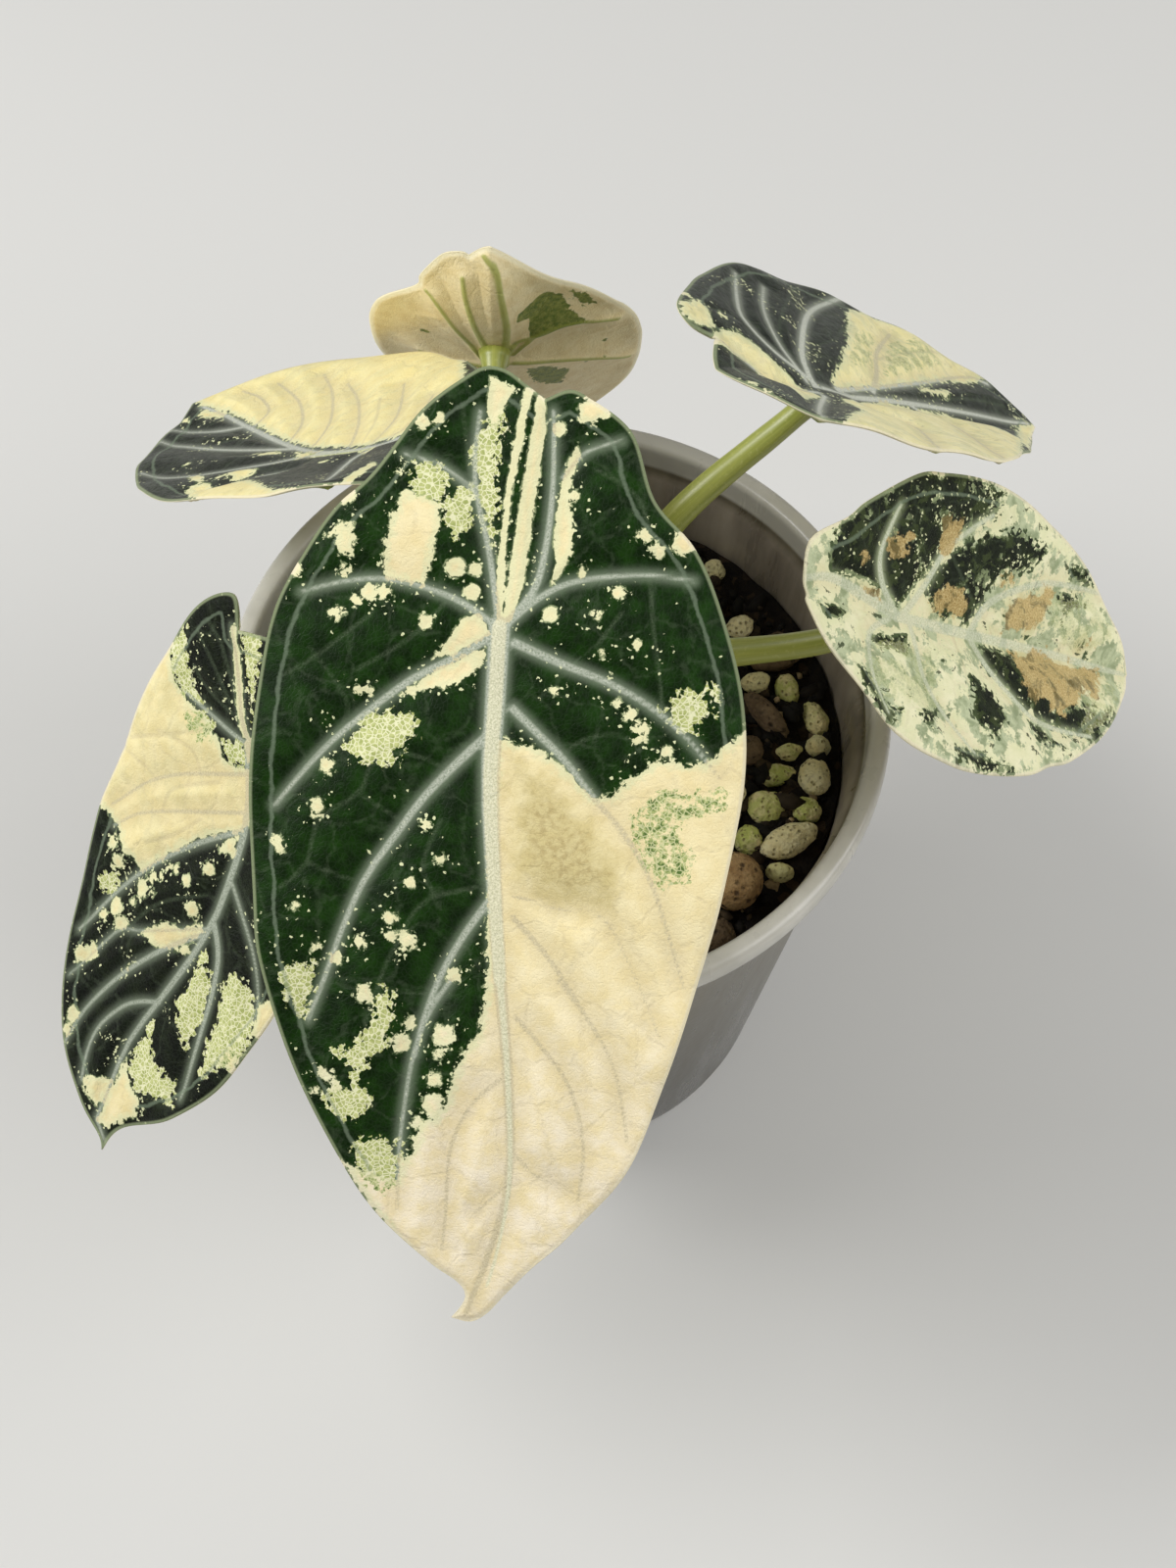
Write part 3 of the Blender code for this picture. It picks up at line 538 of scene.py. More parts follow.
            [(728, 339), (749, 342), (774, 361), (808, 390), (838, 405), (820, 408), (791, 392), (770, 375),
              (745, 358), (728, 351)],
            [(1039, 434), (1058, 435), (1051, 462), (1039, 453)],
            [(937, 394), (968, 401), (967, 406), (940, 400)],
            [(691, 308), (712, 311), (728, 336), (712, 333), (696, 321)],
        ],
        "net": [
            [(868, 339), (891, 343), (890, 374), (866, 374)],
            [(908, 347), (937, 352), (958, 374), (903, 383)],
        ],
        "spots": [
            (699, 302, 0.7), (732, 324, 0.6), (808, 297, 0.5), (766, 395, 0.8), (782, 403, 0.8),
            (845, 428, 0.8), (916, 408, 0.6), (887, 416, 0.7),
        ],
    },
    "right": {
        "veins": [
            (1.2, 0.5, [(911, 630), (948, 638), (990, 648), (1032, 658), (1078, 669), (1115, 680),
              (1144, 689)]),
            (0.7, 0.3, [(911, 626), (900, 597), (899, 566), (909, 538), (919, 515)]),
            (0.8, 0.35, [(919, 627), (944, 597), (965, 563), (990, 542), (1015, 526)]),
            (0.8, 0.35, [(990, 645), (1007, 618), (1033, 604), (1073, 595), (1122, 606)]),
            (0.6, 0.3, [(905, 632), (888, 644), (888, 668), (893, 693), (906, 727)]),
            (0.7, 0.3, [(926, 638), (936, 668), (944, 693), (962, 727), (995, 768)]),
            (0.8, 0.35, [(989, 650), (1007, 680), (1033, 711), (1062, 738), (1111, 753)]),
            (1.3, 0.6, [(909, 626), (878, 605), (848, 589), (821, 589)]),
        ],
        "fine": [
            [(973, 568), (982, 597), (998, 622)],
            [(1057, 597), (1082, 618), (1128, 642)],
            [(1032, 659), (1057, 688), (1107, 713)],
            [(973, 647), (982, 688), (998, 747)],
        ],
        "dark": [
            [(844, 565), (849, 542), (865, 524), (878, 511), (907, 492), (936, 478), (986, 480),
              (1028, 499), (1019, 524), (990, 538), (968, 561), (943, 592), (923, 611), (914, 620),
              (903, 605), (886, 595), (865, 586), (849, 582)],
            [(950, 586), (973, 563), (1005, 545), (1038, 542), (1067, 563), (1052, 580), (1020, 588),
              (1009, 607), (987, 636), (957, 625), (945, 605)],
            [(999, 657), (1032, 667), (1048, 699), (1073, 724), (1107, 726), (1138, 728), (1117, 758),
              (1073, 745), (1038, 718), (1011, 688)],
            [(987, 688), (1009, 707), (1023, 734), (1013, 758), (992, 730)],
            [(886, 647), (924, 649), (924, 672), (907, 665), (894, 659)],
            [(872, 680), (892, 685), (904, 718), (922, 724), (908, 737), (882, 714)],
            [(973, 760), (1007, 772), (1032, 786), (1007, 790), (978, 778)],
            [(1075, 605), (1094, 607), (1107, 622), (1090, 624)],
            [(1046, 730), (1065, 747), (1082, 763), (1057, 755)],
            [(936, 730), (957, 726), (948, 747)],
            [(834, 618), (850, 620), (861, 626), (852, 636), (838, 628)],
            [(1090, 576), (1107, 580), (1107, 597), (1092, 595)],
            [(852, 557), (869, 563), (884, 588), (865, 584)],
        ],
        "net": [
            [(1065, 605), (1115, 613), (1136, 655), (1094, 663), (1069, 638)],
            [(894, 655), (948, 663), (957, 726), (915, 726), (886, 688)],
            [(1098, 713), (1136, 697), (1136, 730), (1107, 751)],
        ],
        "tan": [
            [(907, 551), (924, 549), (922, 572), (908, 577)],
            [(960, 531), (987, 531), (969, 559), (958, 556)],
            [(948, 601), (965, 596), (987, 618), (978, 628), (950, 627)],
            [(1018, 626), (1040, 608), (1072, 602), (1070, 622), (1048, 645), (1022, 639)],
            [(1028, 662), (1073, 671), (1103, 697), (1099, 731), (1073, 727), (1048, 710), (1039, 688)],
            [(1094, 675), (1116, 683), (1120, 706), (1111, 714), (1098, 688)],
            [(1096, 657), (1109, 654), (1113, 663), (1100, 667)],
            [(1021, 589), (1034, 588), (1035, 599), (1023, 599)],
            [(875, 559), (886, 559), (886, 568), (877, 568)],
            [(878, 599), (894, 605), (895, 612), (880, 607)],
        ],
        "creamFlat": [
            [(-50, -60), (50, -60), (50, 90), (-50, 90)],
        ],
    },
}

# What differs from leaf to leaf in the skin: colours, how far the borders fray (mm) and how finely (per
# mm), how deep a patch stays whole (mm), the width of the half green border (mm), the share of pale
# flecks, of marbling and of velvet, the share of each vein's half width that is drawn, and how clear
# the netted patches are
skins = {
    "front": {"cream": "#F8EABA", "creamDeep": "#EDDAA2", "tip": "#F8ECD2", "green": "#081D00",
              "greenLight": "#183706", "silver": ("#7F8C74", "#D6D9C8"), "fray": 1.3, "tear": 0.7,
              "whole": 30.0, "halfTone": 0.3, "flecks": 0.025, "marble": 0.0, "velvet": 0.0,
              "vein": 0.48, "net": 1.0},
    "left": {"cream": "#F4E7B2", "creamDeep": "#E3D296", "tip": "#EFE2B4", "green": "#060A03",
             "greenLight": "#131B0B", "silver": ("#78826E", "#C6CCBA"), "fray": 1.4, "tear": 0.5,
             "whole": 30.0, "halfTone": 0.35, "flecks": 0.09, "marble": 0.1, "velvet": 0.03,
             "vein": 0.5, "net": 1.0},
    # painted sheen: the greys of this leaf's green and greenLight stand for the velvet sheen its dark skin
    # shows at a grazing angle
    "upper_left": {"cream": "#F9EDB0", "creamDeep": "#F0DF98", "tip": "#F9EDB0", "green": "#1A1E16",
                   "greenLight": "#343830", "silver": ("#9A9F90", "#DEE0D3"), "fray": 1.4, "tear": 0.5,
                   "whole": 30.0, "halfTone": 0.4, "flecks": 0.08, "marble": 0.1, "velvet": 0.12,
                   "vein": 0.55, "net": 1.0},
    "back": {"cream": "#F0E5B0", "creamDeep": "#E2D296", "tip": "#F0E5B0", "green": "#2A3618",
             "greenLight": "#42502A", "silver": ("#8B9784", "#C5CBB8"), "fray": 1.4, "tear": 0.6,
             "whole": 30.0, "halfTone": 0.4, "flecks": 0.03, "marble": 0.0, "velvet": 0.05,
             "vein": 0.8, "net": 1.0},
    # painted sheen: the greys of this leaf's green and greenLight stand for the velvet sheen its dark skin
    # shows at a grazing angle
    "upper_right": {"cream": "#FAF1BC", "creamDeep": "#EFE4A2", "tip": "#FAF1BC", "green": "#171B15",
                    "greenLight": "#343A31", "silver": ("#A8AD9C", "#ECEDE0"), "fray": 1.7, "tear": 0.36,
                    "whole": 3.0, "halfTone": 0.5, "flecks": 0.12, "marble": 0.2, "velvet": 0.12,
                    "vein": 0.6, "net": 0.6},
    "right": {"cream": "#F3EFC8", "creamDeep": "#E3E2B2", "tip": "#F3EFC8", "green": "#0A1005",
              "greenLight": "#222B14", "silver": ("#A9B38C", "#EAECD6"), "fray": 3.4, "tear": 0.17,
              "whole": 1.5, "halfTone": 0.8, "flecks": 0.12, "marble": 0.9, "velvet": 0.04,
              "vein": 0.85, "net": 0.35},
}


def arc(rate, distance, start):
    # run and rise along an arc that starts at an angle and turns at a steady rate
    turned = start + rate * distance
    safe = np.where(np.abs(rate) < 1e-9, 1.0, rate)
    bent = np.abs(rate) >= 1e-9
    run = np.where(bent, (np.sin(turned) - np.sin(start)) / safe, distance * np.cos(start))
    rise = np.where(bent, (np.cos(start) - np.cos(turned)) / safe, distance * np.sin(start))
    return run, rise


def bladeFrame(leaf, along):
    # centre, side and normal of the blade at each distance along its midrib
    heading = math.radians(leaf["heading"])
    ahead = np.array((math.cos(heading), math.sin(heading), 0.0))
    up = np.array((0.0, 0.0, 1.0))
    aside = np.cross(ahead, up)
    rate = np.radians(np.where(along > 0.0, leaf["tipCurl"], leaf["lobeCurl"]))
    start = math.radians(leaf["droop"])
    run, fall = arc(rate, along, start)
    droop = (start + rate * along)[:, None]
    normal = ahead * np.sin(droop) + up * np.cos(droop)
    roll = math.radians(leaf["roll"])
    side = aside * math.cos(roll) - normal * math.sin(roll)
    normal = normal * math.cos(roll) + aside * math.sin(roll)
    centre = np.array(leaf["joint"]) + ahead * run[:, None] - up * fall[:, None]
    return centre, side, normal


def bladePoints(leaf, across, along, lift):
    centre, side, normal = bladeFrame(leaf, along)
    right = across > 0.0
    fold = np.radians(np.where(right, leaf["folds"][1], leaf["folds"][0]))
    curl = np.radians(np.where(right, leaf["curls"][1], leaf["curls"][0]))
    run, rise = arc(-curl, np.abs(across), fold)
    angle = fold - curl * np.abs(across)
    sign = np.where(right, 1.0, -1.0)
    tilt = np.sin(angle) * sign * smooth(0.0, 0.8, np.abs(across))
    lean = normal * np.cos(angle)[:, None] - side * tilt[:, None]
    lean /= np.linalg.norm(lean, axis=1)[:, None]
    return centre + side * (run * sign)[:, None] + normal * rise[:, None] + lean * lift[:, None]


def toPhoto(points):
    # where points in millimetres fall in the photograph's frame, seen by the studio's camera
    eye = np.array(studio["cameraPlace"])
    view = np.array(studio["cameraAim"]) - eye
    view /= np.linalg.norm(view)
    aside = np.cross(view, (0.0, 0.0, 1.0))
    aside /= np.linalg.norm(aside)
    above = np.cross(aside, view)
    scale = studio["lens"] / studio["sensor"] * photoFrame[1]
    offset = points - eye
    depth = offset @ view
    return np.stack((photoFrame[0] / 2 + scale * (offset @ aside) / depth,
                     photoFrame[1] / 2 - scale * (offset @ above) / depth), axis=1)


def seenOn(leaf, flat):
    return toPhoto(bladePoints(leaf, flat[:, 0], flat[:, 1], np.zeros(len(flat))))


def ontoBlade(leaf, line):
    # photo pixels to places on the blade: the best node of a coarse net, near the line's last point, and
    # then Newton's steps on the bent surface
    outline = np.array(leaf["left"] + leaf["right"], dtype=float)
    low, high = outline.min(axis=0) * 1.35, outline.max(axis=0) * 1.2
    net = np.meshgrid(np.linspace(low[0], high[0], 61), np.linspace(low[1], high[1], 81))
    net = np.column_stack((net[0].ravel(), net[1].ravel()))
    seen = seenOn(leaf, net)
    step = 0.05
    found = []
    for spot in np.array(line, dtype=float):
        miss = np.linalg.norm(seen - spot, axis=1)
        if found:
            miss = miss + 0.35 * np.linalg.norm(net - found[-1], axis=1)
        guess = net[miss.argmin()]
        for trial in range(8):
            here = seenOn(leaf, guess + np.array(((0.0, 0.0), (step, 0.0), (0.0, step))))
            slope = (here[1:] - here[0]).T / step
            guess = guess + np.clip(np.linalg.solve(slope, spot - here[0]), -4.0, 4.0)
        found.append(guess)
    return np.array(found)


def readMarkings(leaf, seen):
    # the markings of one leaf in millimetres on its blade
    read = {}
    for kind in ("veins", "cores"):
        read[kind] = [(start, end, ontoBlade(leaf, line)) for start, end, line in seen.get(kind, [])]
    for kind in ("fine", "cream", "dark", "net", "tan"):
        read[kind] = [ontoBlade(leaf, line) for line in seen.get(kind, [])]
    read["cream"] += [np.array(line, dtype=float) for line in seen.get("creamFlat", [])]
    spots = seen.get("spots", [])
    read["spots"] = []
    if spots:
        places = ontoBlade(leaf, [spot[:2] for spot in spots])
        read["spots"] = [(*place, spot[2]) for place, spot in zip(places, spots)]
    return read


def spread(points, count):
    # count + 1 points evenly by length along a smooth line through the points
    knots = np.array(points, dtype=float)
    before = np.vstack((knots[:1], knots[:-2]))
    after = np.vstack((knots[2:], knots[-1:]))
    t = np.linspace(0.0, 1.0, 12, endpoint=False)[:, None]
    fine = []
    for place in range(len(knots) - 1):
        first, second = knots[place], knots[place + 1]
        a = (second - before[place]) * 0.5
        b = (after[place] - first) * 0.5
        fine.append(first * (2 * t ** 3 - 3 * t ** 2 + 1) + a * (t ** 3 - 2 * t ** 2 + t)
                    + second * (3 * t ** 2 - 2 * t ** 3) + b * (t ** 3 - t ** 2))
    fine = np.vstack(fine + [knots[-1:]])
    lengths = np.concatenate(([0.0], np.cumsum(np.linalg.norm(np.diff(fine, axis=0), axis=1))))
    wanted = np.linspace(0.0, lengths[-1], count + 1)
    return np.stack([np.interp(wanted, lengths, fine[:, axis]) for axis in (0, 1)], axis=1)


def lineGap(flat, line, startWidth=0.0, endWidth=0.0):
    # distance of each flat point from a line, less the line's half width there
    gap = np.full(len(flat), 1e3)
    steps = len(line) - 1
    for place in range(steps):
        a, b = line[place], line[place + 1]
        span = b - a
        t = np.clip(((flat - a) @ span) / max(span @ span, 1e-9), 0.0, 1.0)
        width = startWidth + (endWidth - startWidth) * (place + t) / steps
        gap = np.minimum(gap, np.linalg.norm(flat - a - t[:, None] * span, axis=1) - width)
    return gap


def patchDepth(flat, outline):
    # how deep each flat point lies inside an outline, negative outside it
    corners = np.array(outline, dtype=float)
    after = np.roll(corners, -1, axis=0)
    inside = np.zeros(len(flat), dtype=bool)
    for a, b in zip(corners, after):
        crosses = (a[1] > flat[:, 1]) != (b[1] > flat[:, 1])
        rise = b[1] - a[1] if abs(b[1] - a[1]) > 1e-9 else 1e-9
        inside ^= crosses & (flat[:, 0] < (b[0] - a[0]) * (flat[:, 1] - a[1]) / rise + a[0])
    depth = lineGap(flat, np.vstack((corners, corners[:1])))
    return np.where(inside, depth, -depth)


def leafMarks(read, flat, margins, veinShare):
    # the fields that the skin's nodes read, in millimetres
    marks = {}
    vein = np.full(len(flat), 20.0)
    for startWidth, endWidth, line in read["veins"]:
        widths = (startWidth * veinShare, endWidth * veinShare)
        vein = np.minimum(vein, lineGap(flat, spread(line, 16), *widths))
    marks["veinGap"] = vein
    fine = np.full(len(flat), 20.0)
    for line in read["fine"]:
        fine = np.minimum(fine, lineGap(flat, spread(line, 12)))
    marks["fineGap"] = fine
    cream = np.full(len(flat), -30.0)
    for outline in read["cream"]:
        cream = np.maximum(cream, patchDepth(flat, outline))
    for across, along, radius in read["spots"]:
        if read["dark"]:
            cream = np.minimum(cream, np.hypot(flat[:, 0] - across, flat[:, 1] - along) - radius)
        else:
            cream = np.maximum(cream, radius - np.hypot(flat[:, 0] - across, flat[:, 1] - along))
    for outline in read["dark"]:
        cream = np.minimum(cream, -patchDepth(flat, outline))
    marks["creamDepth"] = cream
    pith = np.full(len(flat), 20.0)
    for startWidth, endWidth, line in read["cores"]:
        pith = np.minimum(pith, lineGap(flat, spread(line, 12), startWidth, endWidth))
    marks["coreGap"] = pith
    for kind in ("net", "tan"):
        depth = np.full(len(flat), -30.0)
        for outline in read[kind]:
            depth = np.maximum(depth, patchDepth(flat, outline))
        marks[kind + "Depth"] = depth
    marks["rimGap"] = np.minimum(lineGap(flat, margins[0]), lineGap(flat, margins[1]))
    return marks


def buildBlade(name, leaf, veinShare):
    behind = blade["posteriorRows"] * blade["fineRows"]
    ahead = blade["anteriorRows"] * blade["fineRows"]
    rows = behind + ahead
    half = blade["halfColumns"]
    notch = np.array(leaf["right"][0], dtype=float)
    tip = np.array(leaf["midrib"][-1], dtype=float)
    spine = np.vstack((notch * (1.0 - np.arange(behind) / behind)[:, None], spread(leaf["midrib"], ahead)))
    margins = (spread(leaf["left"], rows), spread(leaf["right"], rows))

    work = bmesh.new()
    bmesh.ops.create_grid(work, x_segments=2 * half, y_segments=rows, size=1.0)
    grid = np.array([tuple(vert.co) for vert in work.verts])
    column = np.rint(grid[:, 0] / grid[:, 0].max() * half).astype(int)
    row = np.rint((grid[:, 1] / grid[:, 1].max() + 1.0) * rows / 2).astype(int)
    share = np.abs(column) / half
    margin = np.where((column > 0)[:, None], margins[1][row], margins[0][row])
    flat = spine[row] + (margin - spine[row]) * share[:, None]

    marks = leafMarks(readMarkings(leaf, markings[name]), flat, margins, veinShare)
    reach = np.linalg.norm(flat, axis=1)
    nearJoint = smooth(*blade["flatJoint"], reach)
    toTip = smooth(0.0, blade["flatTip"], np.linalg.norm(flat - tip, axis=1))
    gap = np.maximum(marks["veinGap"], 0.0)
    swell = 1.0 - np.exp(-(gap / blade["quiltWidth"]) ** 2)
    fineDip = blade["fineDip"] * np.exp(-(marks["fineGap"] / blade["fineWidth"]) ** 2) * smooth(0.6, 2.5, gap)
    toRim = smooth(0.0, blade["flatRim"], marks["rimGap"])
    ribCrown = blade["crown"] * (1.0 - smooth(-1.6, 0.0, marks["veinGap"]))
    relief = (blade["quilting"] * (swell - 0.55) * toRim - fineDip) * nearJoint * toTip + ribCrown * toTip
    ripple = leaf["wave"] * share ** 3 * np.sin((margin[:, 0] + margin[:, 1]) * 0.23 + 0.7) * toTip
    lift = relief + ripple
    # below, the veins stand out as rounded ribs
    offRib = np.maximum(marks["veinGap"] + 0.8, 0.0) / blade["ridgeWidth"]
    ridge = blade["midribRidge"] * np.exp(-offRib ** 2) * toTip
    ridge *= np.where(flat[:, 1] < 0.0, 0.6, 1.0 - 0.7 * smooth(0.0, 1.1 * tip[1], flat[:, 1]))
    inFromRim = smooth(0.0, blade["rimWidth"], marks["rimGap"])
    edgeThin = blade["rimShare"] + (1.0 - blade["rimShare"]) * inFromRim
    halfThick = blade["thickness"] * 0.5 * edgeThin
    upper = bladePoints(leaf, flat[:, 0], flat[:, 1], lift + halfThick) * mm
    lower = bladePoints(leaf, flat[:, 0], flat[:, 1], lift - halfThick - ridge * edgeThin) * mm

    place = work.verts.layers.int.new("place")
    under = work.verts.layers.float.new("underside")
    for vert, (x, y) in zip(work.verts, flat):
        vert[place] = vert.index
        vert.co = (x * mm, y * mm, 0.0)
    bmesh.ops.remove_doubles(work, verts=work.verts, dist=1e-7)
    grown = bmesh.ops.extrude_face_region(work, geom=work.faces[:], use_keep_orig=True)
    above = {item for item in grown["geom"] if isinstance(item, bmesh.types.BMVert)}
    for vert in work.verts:
        isAbove = vert in above
        vert.co = upper[vert[place]] if isAbove else lower[vert[place]]
        vert[under] = 0.0 if isAbove else 1.0
    bmesh.ops.recalc_face_normals(work, faces=work.faces)
    mesh = bpy.data.meshes.new("blade_" + name)
    work.to_mesh(mesh)
    work.free()

    order = np.empty(len(mesh.vertices), dtype=np.int32)
    mesh.attributes["place"].data.foreach_get("value", order)
    for label, values in marks.items():
        layer = mesh.attributes.new(label, "FLOAT", "POINT")
        layer.data.foreach_set("value", values[order].astype(np.float32))
    layer = mesh.attributes.new("leafPlace", "FLOAT_VECTOR", "POINT")
    spots = np.column_stack((flat[order], np.zeros(len(order)))).astype(np.float32)
    layer.data.foreach_set("vector", spots.ravel())
    return mesh


def leafSkin(name, skin):
    # a living leaf: a waxy, faintly velvety skin, deep green where it has chlorophyll and cream where not.
    # Pattern scales are so many to a millimetre, because leafPlace is in millimetres on the blade
    made, tree, shader = newMaterial("variegated_leaf_" + name, 0.42, Sheen_Weight=skin["velvet"],
                                     Sheen_Roughness=0.4, Sheen_Tint=linear("#D5D9CE"),
                                     Specular_IOR_Level=0.1)
    field = {label: add(tree, "Attribute", attribute_name=label, out=2) for label in
             ("veinGap", "fineGap", "coreGap", "creamDepth", "netDepth", "tanDepth", "rimGap", "underside")}
    place = add(tree, "Attribute", attribute_name="leafPlace", out=1)
    # the place bent by a slow cloud, so that nets and marbling run crooked, and the place moved aside
    shaken = add(tree, "TexNoise", {"Vector": place, "Scale": 0.16, "Detail": 3.0}, out=1)
    bent = add(tree, "VectorMath", (shaken, (7.0, 7.0, 0.0), place), operation="MULTIPLY_ADD")
    drift = add(tree, "VectorMath", (place, (41.0, 17.0, 0.0)), operation="ADD")

    # clouds: blotches 3.6 mm and 1.1 mm wide, skin grit of 0.17 mm, torn borders, fibres of 0.33 mm,
    # groups of flecks 11 mm wide, and two kinds of marbling, 6 mm and 3 mm wide
    coarse, middle, tiny, torn, fibre, cluster, swirl, wisp = (
        add(tree, "TexNoise", {"Vector": where, "Scale": scale, "Detail": detail, "Roughness": rough})
        for where, scale, detail, rough in (
            (place, 0.28, 6.0, 0.62), (place, 0.9, 5.0, 0.6), (place, 6.0, 3.0, 0.6),
            (place, skin["tear"], 9.0, 0.68), (place, 3.0, 4.0, 0.75), (place, 0.09, 3.0, 0.6),
            (drift, 0.17, 9.0, 0.66), (bent, 0.3, 9.0, 0.66)))
    # cells 0.9 mm and 0.4 mm wide, each of one value
    cell, grain = (
        add(tree, "SeparateColor", (add(tree, "TexVoronoi", {"Vector": place, "Scale": scale}, out=1),))
        for scale in (1.1, 2.4))
    # nets: meshes 0.7 mm wide, and the cross veins, 8 mm apart, that a camera only just resolves; both are
    # drawn coarser than a real leaf's, so that they show
    netEdge, crossEdge = (
        add(tree, "TexVoronoi", {"Vector": where, "Scale": scale}, feature="DISTANCE_TO_EDGE")
        for where, scale in ((place, 1.35), (bent, 0.12)))
    cellShift, tornShift, fibreShift, coarseShift = (
        add(tree, "Math", (value, 0.5), operation="SUBTRACT") for value in (cell, torn, fibre, coarse))

    # the stripes between the lobes stay crisp
    across = add(tree, "Math", (add(tree, "SeparateXYZ", (place,)),), operation="ABSOLUTE")
    along = add(tree, "SeparateXYZ", (place,), out=1)
    ahead, aside = (add(tree, "MapRange", (value, low, high, 0.35), **softStep)
                    for value, low, high in ((along, -2.0, 8.0), (across, 8.0, 12.0)))
    fray = add(tree, "Math", (ahead, aside), operation="MAXIMUM")
    fray = add(tree, "Math", (fray, skin["fray"]), operation="MULTIPLY")
    # cream borders step from cell to cell of the fine net, with single cells strayed over them
    held = add(tree, "Math", (field["creamDepth"], -skin["whole"]), operation="MAXIMUM")
    held = add(tree, "Math", (held, skin["whole"]), operation="MINIMUM")
    jitter = add(tree, "Math", (torn, 2.2, -1.1), operation="MULTIPLY_ADD")
    jitter = add(tree, "Math", (cellShift, 0.5, jitter), operation="MULTIPLY_ADD")
    netFray = add(tree, "Math", (tornShift, 4.0, field["netDepth"]), operation="MULTIPLY_ADD")
    ragged, netRag, tanRag, grainy = (
        add(tree, "Math", (value, factor, addend), operation="MULTIPLY_ADD") for value, factor, addend in (
            (jitter, fray, held), (cellShift, 1.6, netFray), (coarseShift, 9.0, field["tanDepth"]),
            (fibreShift, 1.1, field["veinGap"])))

    # soft steps: the value read, where the step begins and ends, and what it gives before and after
    step = {}
    for label, value, low, high, before, after in (
            ("cream", ragged, -0.06, 0.06, 0.0, 1.0),
            ("net", netRag, -0.08, 0.08, 0.0, skin["net"]),
            ("netLine", netEdge, 0.13, 0.04, 0.0, 1.0),
            ("crossLine", crossEdge, 0.06, 0.012, 0.0, 1.0),
            ("clear", middle, 0.35, 0.6, 0.0, 1.0),
            ("besideCream", ragged, -3.0, -0.5, 0.0, 0.05),
            ("group", cluster, 0.5, 0.75, 0.0, 1.0),
            ("spotty", middle, 0.46, 0.5, 0.0, 1.0),
            ("halo", grainy, 2.5, -0.1, 0.0, 1.0),
            ("haloGrit", fibre, 0.25, 0.75, 0.45, 0.9),
            ("fibrous", fibre, 0.35, 0.7, 0.2, 1.0),
            ("scorch", middle, 0.42, 0.62, 0.0, 0.45),
            ("core", grainy, 0.3, -0.15, 0.0, 0.92),
            ("underside", field["underside"], 0.4, 0.6, 0.0, 1.0),
            ("roughness", middle, 0.3, 0.7, 0.36, 0.52)):
        step[label] = add(tree, "MapRange", (value, low, high, before, after), **softStep)
    crossVein = add(tree, "Math", (step["crossLine"], step["clear"]), operation="MULTIPLY")
    # pale flecks: rare cells, more of them in groups and beside the cream
    share = add(tree, "Math", (step["group"], skin["flecks"] * 3.0, step["besideCream"]),
                operation="MULTIPLY_ADD")
    rare = add(tree, "Math", (1.0, share), operation="SUBTRACT")
    fleck = add(tree, "Math", (grain, rare), operation="GREATER_THAN")
    fleck = add(tree, "Math", (fleck, step["spotty"]), operation="MULTIPLY")

    # green: a silvery halo beside the veins, fine veins, a half green border and olive marbling
    halfTone = layered(tree, "#4F5E3C", [(cell, 0.3, 0.6, 1.0, "#8E9A70")], **softStep)
    green = layered(tree, skin["green"], [(coarse, 0.35, 0.7, 1.0, skin["greenLight"])], **softStep)
    halo = add(tree, "Math", (step["halo"], 2.8), operation="POWER")
    halo = add(tree, "Math", (halo, step["haloGrit"]), operation="MULTIPLY")
    green = add(tree, "Mix", {0: halo, 6: green, 7: linear(skin["silver"][0])}, **ofColours)
    green = layered(tree, green, [
        (field["fineGap"], 0.6, 0.0, 0.5, "#66745A", step["fibrous"]),
        (crossEdge, 0.06, 0.012, 0.14, "#66745A", step["clear"]),
        (netEdge, 0.13, 0.04, 0.03, "#6F7F68"),
        (ragged, -skin["halfTone"], 0.02 - skin["halfTone"] * 0.5, 0.85, halfTone),
        (wisp, 0.52, 0.57, skin["marble"] * 0.6, "#46522B")], **softStep)
    # cream: painted shade in the valleys beside the veins, a breath of green in small spots and borders, tan
    # where it dries, and marbling of grey green clouds
    paleGreen = layered(tree, "#8A9872", [(wisp, 0.4, 0.6, 1.0, "#C0C9A2")], **softStep)
    cream = layered(tree, skin["cream"], [
        (along, 35.0, 90.0, 1.0, skin["tip"]),
        (coarse, 0.3, 0.72, 0.8, skin["creamDeep"]),
        # painted shade: tan darkening in the valleys beside the veins
        (field["veinGap"], 3.0, 0.3, 0.3, "#D3C295"),
        (crossEdge, 0.06, 0.012, 0.2, "#C9BB98", step["clear"]),
        (field["fineGap"], 0.6, 0.1, 0.35, "#C3B591"),
        (ragged, 1.7, 0.2, 0.7, "#E2E4B6"),
        (tanRag, -3.0, 3.5, 0.6, "#BFB072"),
        (tanRag, 1.5, 4.0, 1.0, "#A68F5C", step["scorch"]),
        (swirl, 0.5, 0.54, skin["marble"], paleGreen),
        (wisp, 0.61, 0.63, skin["marble"], "#3C482C")], **softStep)
    # netted patches: a yellow green net where the skin is green, a green net where it is cream
    netOnGreen = layered(tree, "#A3AC64", [
        (middle, 0.35, 0.65, 1.0, "#CBCF8C"), (netEdge, 0.13, 0.04, 1.0, "#EAE9BE")], **softStep)
    netOnCream = layered(tree, "#587338", [
        (torn, 0.4, 0.5, 1.0, "#A9B473"), (netEdge, 0.13, 0.04, 0.8, "#DDDCA8"),
        (torn, 0.52, 0.55, 1.0, cream)], **softStep)
